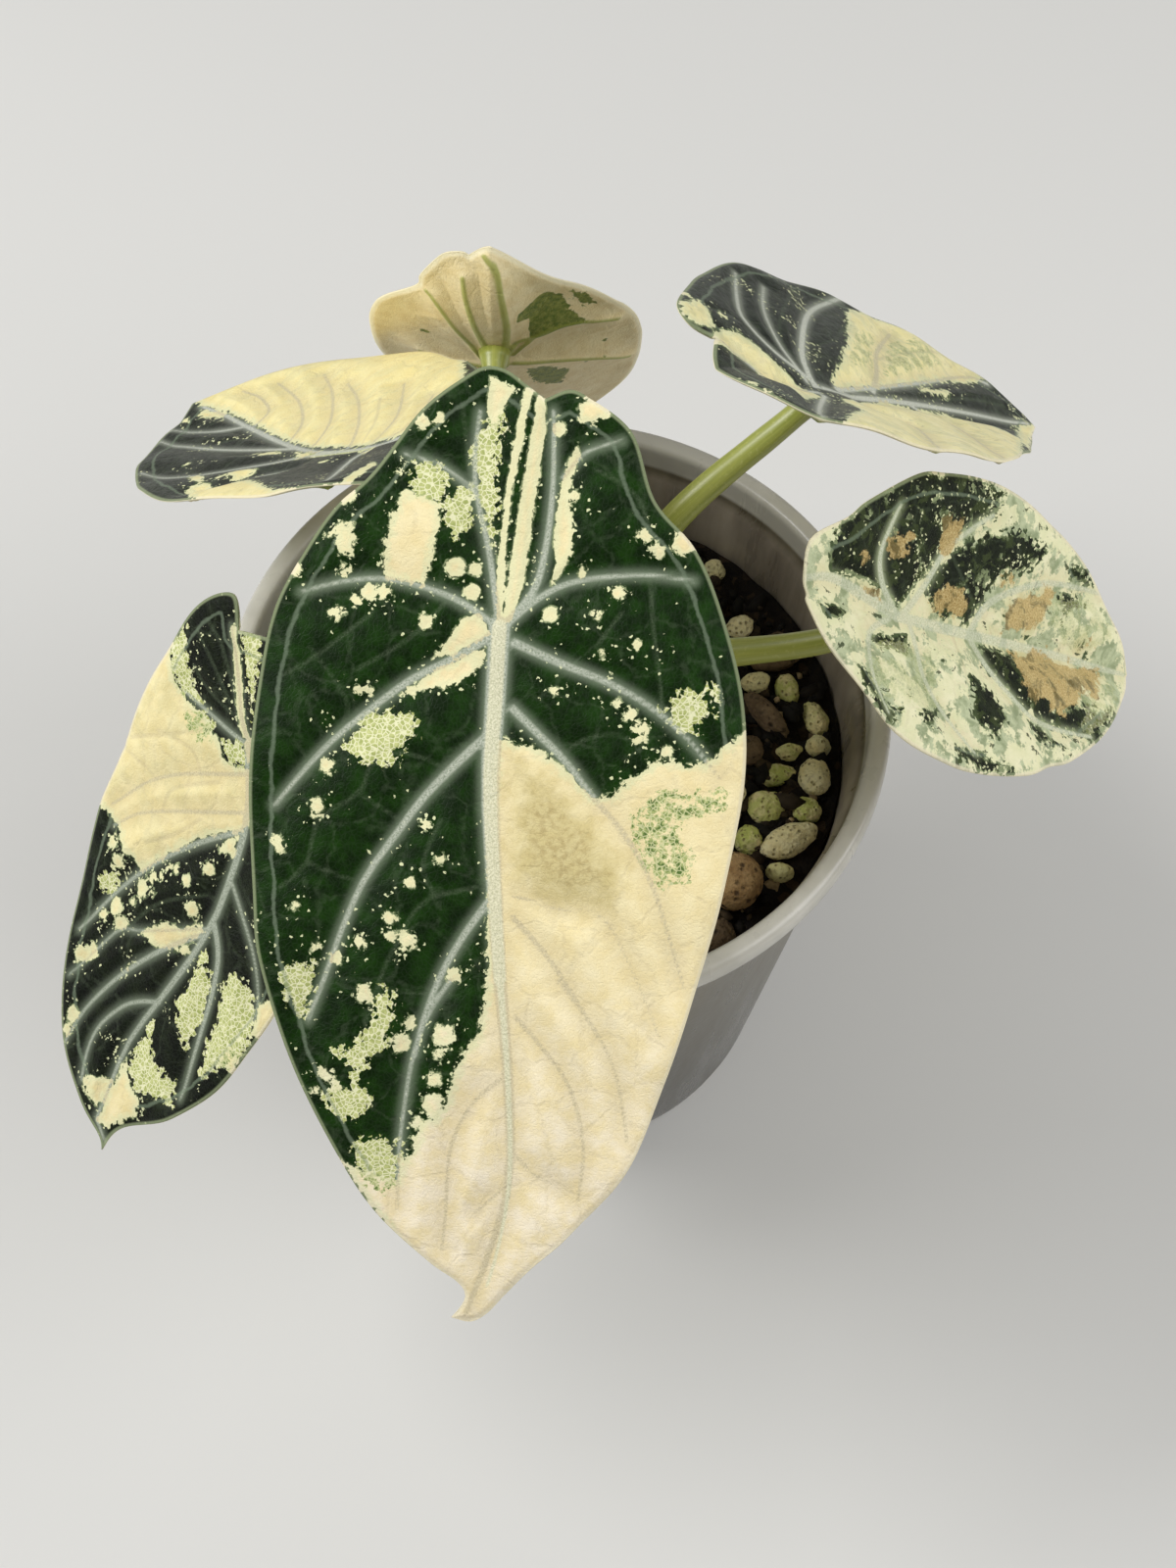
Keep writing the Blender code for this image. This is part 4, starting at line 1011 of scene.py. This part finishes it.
    # veins: silvery and fibrous on green, a little greyer than the skin on cream
    silver = layered(tree, skin["silver"][0], [(fibre, 0.3, 0.68, 1.0, skin["silver"][1])], **softStep)
    creamVein = layered(tree, "#B4A785", [(fibre, 0.3, 0.7, 1.0, "#D8CEAE")], **softStep)
    creamVein = add(tree, "Mix", {0: skin["marble"], 6: creamVein, 7: silver}, **ofColours)
    coreHold = add(tree, "MapRange", (step["cream"], 0.0, 1.0, 0.95, 0.75), **softStep)
    core = add(tree, "Math", (step["core"], coreHold), operation="MULTIPLY")
    pith = layered(tree, "#BFBE98", [(fibre, 0.3, 0.65, 1.0, "#F1EDCE")], **softStep)
    # what differs between green and cream: the net, the veins and the pale hard rim
    netted, vein, rim = (
        add(tree, "Mix", {0: step["cream"], 6: onGreen, 7: onCream}, **ofColours) for onGreen, onCream in (
            (netOnGreen, netOnCream), (silver, creamVein), (linear("#98A37C"), linear("#EEE4C4"))))
    colour = green
    for cover, over in ((fleck, linear("#DDE0B0")), (step["cream"], cream), (step["net"], netted),
                        (core, vein)):
        colour = add(tree, "Mix", {0: cover, 6: colour, 7: over}, **ofColours)
    # the collecting vein inside the margin shows on green only
    inset = add(tree, "Math", (coarse, 1.6, 2.6), operation="MULTIPLY_ADD")
    offset = add(tree, "Math", (field["rimGap"], inset), operation="SUBTRACT")
    offset = add(tree, "Math", (offset,), operation="ABSOLUTE")
    onGreen = add(tree, "Math", (1.0, step["cream"]), operation="SUBTRACT")
    colour = layered(tree, colour, [
        (field["coreGap"], 0.25, -0.2, 0.9, pith),
        (offset, 0.5, 0.1, 0.5, "#7D8C74", onGreen),
        (field["rimGap"], 0.7, 0.3, 0.7, rim)], **softStep)
    # below: paler, matt, with yellow green ribs, and a near white rim that is partly the pale margin and
    # partly painted highlight on the blade's lit edge
    belowGreen = layered(tree, "#66793A", [(middle, 0.3, 0.7, 1.0, "#A0A45A")], **softStep)
    belowCream = layered(tree, "#FFF0C4", [(coarse, 0.3, 0.7, 1.0, "#F1DDA8")], **softStep)
    pale = add(tree, "Math", (step["cream"], step["net"]), operation="MAXIMUM")
    below = add(tree, "Mix", {0: pale, 6: belowGreen, 7: belowCream}, **ofColours)
    below = layered(tree, below, [
        (field["veinGap"], 0.5, -0.1, 0.8, "#A5AE52"),
        # partly the pale margin, partly painted highlight on the blade's lit edge
        (field["rimGap"], 1.2, 0.4, 0.8, "#FBF3D2")], **softStep)
    colour = add(tree, "Mix", {0: step["underside"], 6: colour, 7: below}, **ofColours)
    if name == "right":
        # dry patches: bleached orange tan tissue, rough and flaky
        dry = layered(tree, "#9C7C3C", [
            (fibre, 0.3, 0.7, 1.0, "#E2CB90"), (wisp, 0.5, 0.6, 0.8, "#5C5028")], **softStep)
        flaky = add(tree, "Math", (tornShift, 13.0, field["tanDepth"]), operation="MULTIPLY_ADD")
        colour = layered(tree, colour, [(flaky, -0.3, 0.3, 0.86, dry)], **softStep)
    tree.links.new(colour, shader.inputs["Base Color"])

    # grit and blotches stand up, the net and the cross veins are sunk
    height = add(tree, "Math", (tiny, 0.5), operation="MULTIPLY")
    for value, depth in ((step["netLine"], -0.35), (middle, 0.8), (crossVein, -0.7)):
        height = add(tree, "Math", (value, depth, height), operation="MULTIPLY_ADD")
    bump = add(tree, "Bump", {"Strength": 0.3, "Distance": 0.6 * mm, "Height": height})
    tree.links.new(bump, shader.inputs["Normal"])
    tree.links.new(step["roughness"], shader.inputs["Roughness"])
    return made


for leafName, leaf in leaves.items():
    skin = skins[leafName]
    finish("leaf_" + leafName, buildBlade(leafName, leaf, skin["vein"]), leafSkin(leafName, skin),
           "variegated_blade", "blade_" + leafName)
print("leaves made")

# Petioles
petiole = {
    "sides": 28,
    "steps": 54,
    "baseRadius": 3.3,
    "topRadius": 2.0,
    "taper": 0.8,           # 1 would be a plain cone; less is slimmer from low down
    "flare": 0.9,           # how much it swells just below the blade
    "flareFrom": 0.93,      # the share of its length where that begins
    "unevenness": 0.035,    # the share by which its radius wanders
    "gapAbove": 0.2,        # between its top and the blade
    "soilLevel": 99.0,
    "collar": 2.0,          # it stands straight to this height above the soil's level
    "holeDepth": 14.0,
    "leanOut": 0.35,        # how far it leans out as it rises, as a share of its distance from the axis
}


def petiolePath(leaf):
    centre, side, normal = (Vector(part[0]) for part in bladeFrame(leaf, np.zeros(1)))
    top = centre - normal * (blade["thickness"] * 0.5 + petiole["gapAbove"])
    x, y = leaf["base"]
    bottom = Vector((x, y, petiole["soilLevel"] - petiole["holeDepth"]))
    ground = Vector((x, y, petiole["soilLevel"] + petiole["collar"]))
    rise = ground + Vector((x * petiole["leanOut"], y * petiole["leanOut"], leaf["lift"]))
    near = top - normal * leaf["reach"]
    path = [bottom, bottom.lerp(ground, 0.5)]
    for step in range(petiole["steps"] + 1):
        t = step / petiole["steps"]
        s = 1.0 - t
        path.append(ground * s ** 3 + rise * (3 * s * s * t) + near * (3 * s * t * t) + top * t ** 3)
    return path


def buildPetiole(name, leaf, seed):
    path = petiolePath(leaf)
    work = bmesh.new()
    tone = work.verts.layers.float.new("height")
    around = work.verts.layers.float.new("round")
    bmesh.ops.create_circle(work, cap_ends=True, segments=petiole["sides"], radius=1.0)
    work.faces.ensure_lookup_table()
    cap = work.faces[0]
    ring = [loop.vert for loop in cap.loops]
    rim = [vert.co.copy() for vert in ring]
    turnAxis = Vector((1.0, 0.0, 0.0))
    for place, centre in enumerate(path):
        heading = (path[min(place + 1, len(path) - 1)] - path[max(place - 1, 0)]).normalized()
        turnAxis = (turnAxis - heading * turnAxis.dot(heading)).normalized()
        other = heading.cross(turnAxis)
        share = max(0.0, (place - 2) / petiole["steps"])
        slimmed = share ** petiole["taper"]
        radius = petiole["baseRadius"] + (petiole["topRadius"] - petiole["baseRadius"]) * slimmed
        radius *= 1.0 + petiole["flare"] * max(0.0, share - petiole["flareFrom"]) ** 2 * 120.0
        radius *= 1.0 + petiole["unevenness"] * noise.noise(Vector((seed * 7.3, share * 9.0, 0.0)))
        if place:
            grown = bmesh.ops.extrude_face_region(work, geom=[cap, *cap.edges], use_keep_orig=place == 1)
            cap = next(item for item in grown["geom"] if isinstance(item, bmesh.types.BMFace))
            ring = [loop.vert for loop in cap.loops]
        for vert, spot in zip(ring, rim):
            vert.co = (centre + (turnAxis * spot.x + other * spot.y) * radius) * mm
            vert[tone] = share
            vert[around] = abs(math.atan2(spot.y, spot.x))
    bmesh.ops.recalc_face_normals(work, faces=work.faces)
    mesh = bpy.data.meshes.new("petiole_" + name)
    work.to_mesh(mesh)
    work.free()
    return mesh


def petioleSkin():
    # a fleshy stem: smooth waxy olive green, a little paler and browner low down, with specks of 0.7 mm
    made, tree, shader = newMaterial("waxy_leaf_stem", 0.36, Coat_Weight=0.12, Coat_Roughness=0.3)
    place = add(tree, "TexCoord", out=3)
    height = add(tree, "Attribute", attribute_name="height", out=2)
    turned = add(tree, "Attribute", attribute_name="round", out=2)
    around, upward = (add(tree, "Math", (value, rate), operation="MULTIPLY")
                      for value, rate in ((turned, 5.0), (height, 2.5)))
    along = add(tree, "CombineXYZ", (around, upward))
    streak = add(tree, "TexNoise", {"Vector": along, "Scale": 1.0, "Detail": 4.0, "Roughness": 0.6})
    speck = add(tree, "TexNoise", {"Vector": place, "Scale": 1400.0, "Detail": 2.0})
    colour = layered(tree, "#8E9640", [
        (streak, 0.3, 0.7, 1.0, "#AEB25A"),
        (speck, 0.58, 0.72, 0.35, "#C4C67C"),
        (height, 0.2, 0.0, 1.0, "#A49B62")])
    tree.links.new(colour, shader.inputs["Base Color"])
    bump = add(tree, "Bump", {"Strength": 0.12, "Distance": 0.3 * mm, "Height": streak})
    tree.links.new(bump, shader.inputs["Normal"])
    return made


stemSkin = petioleSkin()
for seed, (leafName, leaf) in enumerate(leaves.items()):
    finish("stem_" + leafName, buildPetiole(leafName, leaf, seed), stemSkin, "petiole_green",
           "petiole_" + leafName)
print("petioles made")

# Nursery pot
pot = {
    "segments": 180, "rimRadius": 60.0, "rimInner": 56.1, "rimTop": 118.0, "skirt": 112.8,
    "bodyTop": 56.2, "foot": 40.9, "wall": 1.5, "floor": 2.2,
    "holes": 6, "holeRadius": 2.5, "holeCircle": 27.0, "holeTurn": 0.07,
}


def bodyRadius(height):
    return pot["foot"] + (pot["bodyTop"] - pot["foot"]) * height / pot["skirt"]


def innerRadius(height):
    return bodyRadius(height) - pot["wall"]


def spinProfile(name, profile, segments):
    # turns a (radius, height) line round the pot's axis into a closed skin
    work = bmesh.new()
    chain = [work.verts.new((radius * mm, 0.0, height * mm)) for radius, height in profile]
    edges = [work.edges.new(pair) for pair in zip(chain, chain[1:])]
    bmesh.ops.spin(work, geom=chain + edges, cent=(0, 0, 0), axis=(0, 0, 1), angle=math.tau,
                   steps=segments, use_merge=True)
    bmesh.ops.remove_doubles(work, verts=work.verts, dist=1e-6)
    bmesh.ops.recalc_face_normals(work, faces=work.faces)
    mesh = bpy.data.meshes.new(name)
    work.to_mesh(mesh)
    work.free()
    return mesh


def buildPot():
    rim, inner, top, skirt = pot["rimRadius"], pot["rimInner"], pot["rimTop"], pot["skirt"]
    profile = [
        (0.0, 0.0), (30.0, 0.0), (pot["foot"] - 2.2, 0.0), (pot["foot"] - 1.4, 0.15),
        (pot["foot"] - 0.8, 0.6), (pot["foot"] - 0.3, 1.3), (pot["foot"] - 0.05, 2.2),
        (bodyRadius(6.0), 6.0), (bodyRadius(40.0), 40.0), (bodyRadius(80.0), 80.0),
        (bodyRadius(108.0), 108.0), (pot["bodyTop"], skirt - 0.7), (pot["bodyTop"] + 0.5, skirt - 0.2),
        (pot["bodyTop"] + 1.2, skirt), (rim - 1.3, skirt), (rim - 0.6, skirt + 0.15),
        (rim - 0.15, skirt + 0.6),
        (rim, skirt + 1.3), (rim, top - 1.7), (rim - 0.15, top - 1.0), (rim - 0.5, top - 0.45),
        (rim - 1.0, top - 0.12), (rim - 1.6, top), (inner + 1.3, top), (inner + 0.8, top - 0.12),
        (inner + 0.35, top - 0.45), (inner + 0.08, top - 1.0), (inner, top - 1.7), (inner - 0.3, top - 4.0),
        (inner - 0.5, top - 6.2), (inner - 0.9, top - 7.2), (innerRadius(109.5), 109.5),
        (innerRadius(80.0), 80.0), (innerRadius(40.0), 40.0), (innerRadius(6.0), 6.0),
        (innerRadius(4.0) - 0.6, 4.0), (innerRadius(2.2) - 1.4, 2.8), (innerRadius(2.2) - 2.6, 2.2),
        (0.0, 2.2),
    ]
    mesh = spinProfile("pot", profile, pot["segments"])
    work = bmesh.new()
    for place in range(pot["holes"]):
        angle = math.tau * (place + 0.5) / pot["holes"] + pot["holeTurn"]
        spot = Vector((pot["holeCircle"] * math.cos(angle), pot["holeCircle"] * math.sin(angle), 1.0))
        bmesh.ops.create_cone(work, cap_ends=True, segments=24, radius1=pot["holeRadius"] * mm,
                              radius2=pot["holeRadius"] * mm, depth=8 * mm,
                              matrix=Matrix.Translation(spot * mm))
    drillMesh = bpy.data.meshes.new("drill")
    work.to_mesh(drillMesh)
    work.free()
    drill = bpy.data.objects.new("drill", drillMesh)
    shell = bpy.data.objects.new("shell", mesh)
    for item in (drill, shell):
        bpy.context.scene.collection.objects.link(item)
    cut = shell.modifiers.new("holes", "BOOLEAN")
    cut.operation = "DIFFERENCE"
    cut.solver = "EXACT"
    cut.object = drill
    finished = bpy.data.meshes.new_from_object(shell.evaluated_get(bpy.context.evaluated_depsgraph_get()))
    bpy.data.objects.remove(shell)
    bpy.data.objects.remove(drill)
    return finished


def potSkin():
    # thin injection moulded polypropylene: smoky, half clear, with soft flow streaks down the wall. Its
    # coordinates are in metres: streaks 8 mm wide and 170 mm long, clouds of 22 mm and grain of 1.4 mm
    made, tree, shader = newMaterial("smoky_moulded_polypropylene", 0.3, IOR=1.49, Coat_Weight=0.2,
                                     Coat_Roughness=0.22)
    place = add(tree, "TexCoord", out=3)
    height = add(tree, "SeparateXYZ", (place,), out=2)
    flat = add(tree, "VectorMath", (place, (1.0, 1.0, 0.0)), operation="MULTIPLY")
    radius = add(tree, "VectorMath", (flat,), out=1, operation="LENGTH")
    tall = add(tree, "Mapping", {"Vector": place, "Scale": (130.0, 130.0, 6.0)})
    flow = add(tree, "TexNoise", {"Vector": tall, "Scale": 1.0, "Detail": 5.0, "Roughness": 0.6})
    cloudy = add(tree, "TexNoise", {"Vector": place, "Scale": 45.0, "Detail": 4.0})
    fine = add(tree, "TexNoise", {"Vector": place, "Scale": 700.0, "Detail": 3.0})
    # the middle of the wall at each height: what lies beyond it is the outer skin
    slant = (pot["bodyTop"] - pot["foot"]) / pot["skirt"]
    wallMiddle = (pot["foot"] - pot["wall"] / 2) * mm
    middle = add(tree, "Math", (height, slant, wallMiddle), operation="MULTIPLY_ADD")
    beyond = add(tree, "Math", (radius, middle), operation="SUBTRACT")
    # painted shade: the outer skin and its flow streaks grow darker towards the floor
    dark = layered(tree, "#29251A", [(height, 15 * mm, 112 * mm, 1.0, "#514B3B")])
    outer = layered(tree, dark, [(flow, 0.34, 0.68, 1.0, layered(tree, "#393428", [
        (height, 15 * mm, 112 * mm, 1.0, "#706957")]))])
    # painted highlight: the rim band is painted far paler than the wall, with brighter cloudy speckles, for
    # the light caught on its rolled top
    rim = layered(tree, "#B3B0A5", [(cloudy, 0.4, 0.65, 1.0, "#D6D3C9")])
    colour = layered(tree, "#5E564B", [
        (flow, 0.34, 0.68, 1.0, "#958B7D"),
        (cloudy, 0.4, 0.65, 0.5, "#A79F92"),
        (beyond, -0.4 * mm, 0.4 * mm, 1.0, outer),
        (height, (pot["skirt"] - 0.7) * mm, (pot["skirt"] + 0.3) * mm, 1.0, rim)])
    tree.links.new(colour, shader.inputs["Base Color"])
    bump = add(tree, "Bump", {"Strength": 0.12, "Distance": 0.3 * mm, "Height": fine})
    tree.links.new(bump, shader.inputs["Normal"])
    tree.links.new(add(tree, "MapRange", (flow, 0.3, 0.7, 0.22, 0.38)), shader.inputs["Roughness"])
    return made


potPiece = finish("nursery_pot", buildPot(), potSkin(), "nursery_pot_plastic", "pot")
potPiece.data.set_sharp_from_angle(angle=math.radians(50))
print("pot made")

# Potting mix
pottingMix = {
    "segments": 230,
    "rings": 92,
    "gap": 0.3,             # between the mix and the pot
    "level": petiole["soilLevel"],
    "crumbs": 1500,
    "crumbSizes": (0.5, 0.7, 0.9, 1.2, 1.6),
    "chipping": 0.22,       # how far a crumb's corners are moved, as a share of its size
}


def soilHeight(x, y):
    # the lumps of the top, as in the solid plug
    radius = math.hypot(x, y)
    lump = 1.1 * math.sin(x * 0.31 + 1.3) * math.sin(y * 0.27 + 0.4)
    lump += 0.7 * math.sin(x * 0.62 - y * 0.41 + 2.0)
    lump += 0.5 * math.sin(x * 0.93 + y * 0.85)
    edge = max(0.0, (radius - 42.0) / 10.0)
    return pottingMix["level"] + lump * (1.0 - 0.6 * edge) + 1.2 * (1.0 - radius / 52.0) - 1.0 * edge


def crumble(x, y):
    # finer clods on the lumps
    spot = Vector((x, y, 0.0))
    return 1.3 * noise.fractal(spot * 0.22, 1.0, 2.1, 5) + 0.35 * noise.noise(spot * 1.3)


def buildSoil():
    reach = innerRadius(pottingMix["level"] - 2.0) - pottingMix["gap"]
    rings, level = pottingMix["rings"], pottingMix["level"]
    profile = [(reach * place / rings, level) for place in range(rings + 1)]
    profile += [(innerRadius(50.0) - pottingMix["gap"], 50.0), (innerRadius(6.0) - pottingMix["gap"], 6.0),
                (innerRadius(2.2) - 1.7, 3.1), (innerRadius(2.2) - 2.9, 2.5), (0.0, 2.5)]
    mesh = spinProfile("soil", profile, pottingMix["segments"])
    for vert in mesh.vertices:
        x, y, z = vert.co / mm
        if z > pottingMix["level"] - 1.0:
            fade = min(1.0, max(0.0, (reach - math.hypot(x, y)) / 3.0))
            vert.co.z = (soilHeight(x, y) + crumble(x, y) * fade) * mm
    return mesh


def soilSkin():
    # damp peat mix: almost black, matt, crumbly, with brown fibres showing; clods and bits of 2 mm
    made, tree, shader = newMaterial("damp_peat_mix", 0.9, Specular_IOR_Level=0.25)
    place = add(tree, "TexCoord", out=3)
    clod = add(tree, "TexNoise", {"Vector": place, "Scale": 420.0, "Detail": 8.0, "Roughness": 0.7})
    bit = add(tree, "TexVoronoi", {"Vector": place, "Scale": 520.0}, out=1)
    cell = add(tree, "SeparateColor", (bit,))
    colour = layered(tree, "#0B0907", [(clod, 0.35, 0.7, 1.0, "#1F1812"), (cell, 0.82, 0.9, 0.7, "#3C2E20")])
    tree.links.new(colour, shader.inputs["Base Color"])
    bump = add(tree, "Bump", {"Strength": 0.8, "Distance": 1.2 * mm, "Height": clod})
    tree.links.new(bump, shader.inputs["Normal"])
    return made


def buildCrumbs():
    chance = random.Random(7)
    work = bmesh.new()
    tone = work.verts.layers.float.new("tone")
    reach = innerRadius(pottingMix["level"]) - 3.0
    for place in range(pottingMix["crumbs"]):
        radius = reach * math.sqrt(chance.random())
        angle = chance.uniform(0.0, math.tau)
        x, y = radius * math.cos(angle), radius * math.sin(angle)
        size = chance.choice(pottingMix["crumbSizes"]) * chance.uniform(0.8, 1.2)
        shape = Matrix.Diagonal((size * chance.uniform(0.8, 2.0), size, size * chance.uniform(0.4, 0.8), 1.0))
        turn = Matrix.Rotation(chance.uniform(0, math.tau), 4, "Z")
        turn = turn @ Matrix.Rotation(chance.uniform(-0.5, 0.5), 4, "X")
        spot = Matrix.Translation((x, y, soilHeight(x, y) + crumble(x, y) + size * 0.25))
        made = bmesh.ops.create_icosphere(work, subdivisions=1, radius=1.0,
                                          matrix=Matrix.Diagonal((mm, mm, mm, 1.0)) @ spot @ turn @ shape)
        shade = chance.random() ** 1.6
        for vert in made["verts"]:
            chip = Vector((chance.uniform(-1, 1), chance.uniform(-1, 1), chance.uniform(-1, 1)))
            vert.co += chip * size * pottingMix["chipping"] * mm
            vert[tone] = shade
    mesh = bpy.data.meshes.new("crumbs")
    work.to_mesh(mesh)
    work.free()
    return mesh


def crumbSkin():
    # chopped bark, coir and grit: dark brown to tan, each bit of one tone, with stains of 1.1 mm
    made, tree, shader = newMaterial("bark_and_grit_crumbs", 0.85, Specular_IOR_Level=0.3)
    tone = add(tree, "Attribute", attribute_name="tone", out=2)
    place = add(tree, "TexCoord", out=3)
    stain = add(tree, "TexNoise", {"Vector": place, "Scale": 900.0, "Detail": 3.0})
    colour = layered(tree, "#100E0B", [
        (tone, 0.3, 0.85, 1.0, "#4A3D2C"),
        (tone, 0.86, 0.95, 1.0, "#B59E78"),
        (stain, 0.45, 0.7, 0.5, "#120D0A")])
    tree.links.new(colour, shader.inputs["Base Color"])
    return made


finish("potting_mix", buildSoil(), soilSkin(), "dark_potting_mix", "soil")
finish("mix_crumbs", buildCrumbs(), crumbSkin(), "dark_potting_mix")
print("potting mix made")

# Top dressing: kind, centre x and y, half sizes along, across and up, turn in degrees, green share
stones = [
    ("clay", 31.3, -29.8, 5.2, 5.2, 5, 0, 0),
    ("pumice", 41.8, -20.7, 5.2, 2.9, 2.8, 25, 0.1),
    ("pumice", 37.9, -13.8, 3.3, 3.3, 3, 0, 0.7),
    ("pumice", 46.7, -7.6, 3, 3.2, 2.8, 0, 0.1),
    ("pumice", 45.2, -14.1, 3, 2.5, 2.5, 0, 0.8),
    ("pumice", 31.2, -11.3, 2.9, 2.6, 2.5, 0, 0),
    ("pumice", 34.1, -20.2, 2.4, 3.2, 2.5, 10, 0.8),
    ("pumice", 28.9, -18, 2.1, 2.5, 2.1, 0, 0.2),
    ("pumice", 39.7, -26.9, 2.7, 2, 2.1, 0, 0.4),
    ("pumice", 39.2, -6.6, 3.9, 2.1, 2.2, 10, 0.8),
    ("pumice", 48.1, -1.2, 2.3, 2.4, 2.2, 0, 0.3),
    ("pumice", 47.8, 5.3, 2.3, 3.3, 2.4, 20, 0.5),
    ("pumice", 42.9, 10.8, 2.3, 3.6, 2.4, 15, 0.7),
    ("pumice", 37.2, 11.9, 2.7, 2, 2, 15, 0.2),
    ("pumice", 42.3, -2.1, 2.6, 1.7, 1.9, 5, 0.6),
    ("pumice", 34.5, 23.7, 2.7, 2, 2, 20, 0.1),
    ("pumice", 30.2, 37.6, 2.2, 2.2, 2, 0, 0.2),
    ("bark", 40.7, 18.6, 5.4, 3.4, 3.2, 20, 0),
    ("bark", 38.8, 4.9, 5.6, 2.5, 2.5, -50, 0),
    ("bark", 34.9, -2.5, 3.6, 2.6, 2.4, 35, 0),
    ("bark", 27.8, -38.4, 3.4, 2.8, 2.6, 0, 0),
    ("bark", 29.9, 11.2, 3.6, 2.6, 2.6, 0, 0),
]
roughness = {"clay": 0.04, "pumice": 0.12, "bark": 0.12}


def buildStone(name, spec, seed):
    kind, x, y, length, width, height, turn, green = spec
    chance = random.Random(seed)
    phases = [chance.uniform(0.0, math.tau) for _ in range(6)]
    spinTurn = Matrix.Rotation(math.radians(turn), 3, "Z")
    rise = soilHeight(x, y) + height * 0.35
    work = bmesh.new()
    bmesh.ops.create_icosphere(work, subdivisions=5 if kind == "clay" else 4, radius=1.0)
    alga = work.verts.layers.float.new("green")
    tone = work.verts.layers.float.new("tone")
    shade = chance.random()
    shift = Vector((seed * 3.1, 0.0, 0.0))
    for vert in work.verts:
        p = vert.co.normalized()
        waves = math.sin(2.3 * p.x + phases[0]) + math.sin(2.9 * p.y + phases[1])
        waves += math.sin(3.4 * p.z + phases[2])
        swell = 1.0 + roughness[kind] * 0.6 * waves
        if kind == "clay":
            pit = max(0.0, noise.noise(p * 3.2 + shift) - 0.22)
            swell -= pit * 0.30
            swell += 0.012 * noise.noise(p * 9.0 + shift)
        else:
            swell += 0.10 * noise.noise(p * 2.4 + shift) - 0.05 * abs(noise.noise(p * 6.0 + shift))
            if kind == "bark":
                swell += 0.07 * noise.noise(Vector((p.x * 1.5, p.y * 6.0, p.z * 9.0)) + shift)
        q = spinTurn @ Vector((p.x * length * swell, p.y * width * swell, p.z * height * swell))
        vert.co = (q + Vector((x, y, rise))) * mm
        vert[alga] = green
        vert[tone] = shade
    mesh = bpy.data.meshes.new(name)
    work.to_mesh(mesh)
    work.free()
    return mesh


def stoneSkin(name, dark, mid, pale, grit, pit, roughnessValue):
    # blotches of 3.8 mm; grit and pits are so many to a metre, 0.7 to 2 mm wide
    made, tree, shader = newMaterial(name, roughnessValue, Specular_IOR_Level=0.3)
    place = add(tree, "TexCoord", out=3)
    blotch = add(tree, "TexNoise", {"Vector": place, "Scale": 260.0, "Detail": 5.0, "Roughness": 0.65})
    speck = add(tree, "TexNoise", {"Vector": place, "Scale": grit, "Detail": 3.0})
    hole = add(tree, "TexVoronoi", {"Vector": place, "Scale": pit})
    green, tone = (add(tree, "Attribute", attribute_name=label, out=2) for label in ("green", "tone"))
    colour = layered(tree, mid, [
        (blotch, 0.35, 0.68, 1.0, pale),
        (tone, 0.0, 1.0, 0.55, mid),
        (blotch, 0.36, 0.55, 1.0, "#A6B33E", green),
        # painted shade: the pits are darkened towards their middles
        (hole, 0.3, 0.12, 0.8, dark),
        (speck, 0.55, 0.72, 0.55, dark)])
    tree.links.new(colour, shader.inputs["Base Color"])
    sunk = add(tree, "MapRange", (hole, 0.3, 0.12, 0.0, 0.8))
    height = add(tree, "Math", (sunk, -1.2, speck), operation="MULTIPLY_ADD")
    bump = add(tree, "Bump", {"Strength": 0.85, "Distance": 0.6 * mm, "Height": height})
    tree.links.new(bump, shader.inputs["Normal"])
    return made


# fired clay ball: brown crust with pits painted dark as shade; pumice: porous, cream, algae on the damp ones;
# bark: dull brown, fibrous
stoneSkins = {
    "clay": ("fired_clay_ball", stoneSkin(
        "fired_clay_crust", "#2E2114", "#8A6B45", "#B6986B", 1500.0, 520.0, 0.8)),
    "pumice": ("pumice_grain", stoneSkin(
        "porous_pumice", "#97875C", "#EBDDA8", "#FFF7DA", 1300.0, 900.0, 0.85)),
    "bark": ("bark_chip", stoneSkin(
        "pine_bark", "#1E1710", "#5A4A36", "#86725A", 1200.0, 500.0, 0.9)),
}
kindCount = {}
for place, spec in enumerate(stones):
    kind = spec[0]
    kindCount[kind] = kindCount.get(kind, 0) + 1
    label = "%s_%02d" % (kind, kindCount[kind])
    slotName, material = stoneSkins[kind]
    finish("stone_" + label, buildStone("stone_" + label, spec, 40 + place), material, slotName, label)
print("top dressing made")
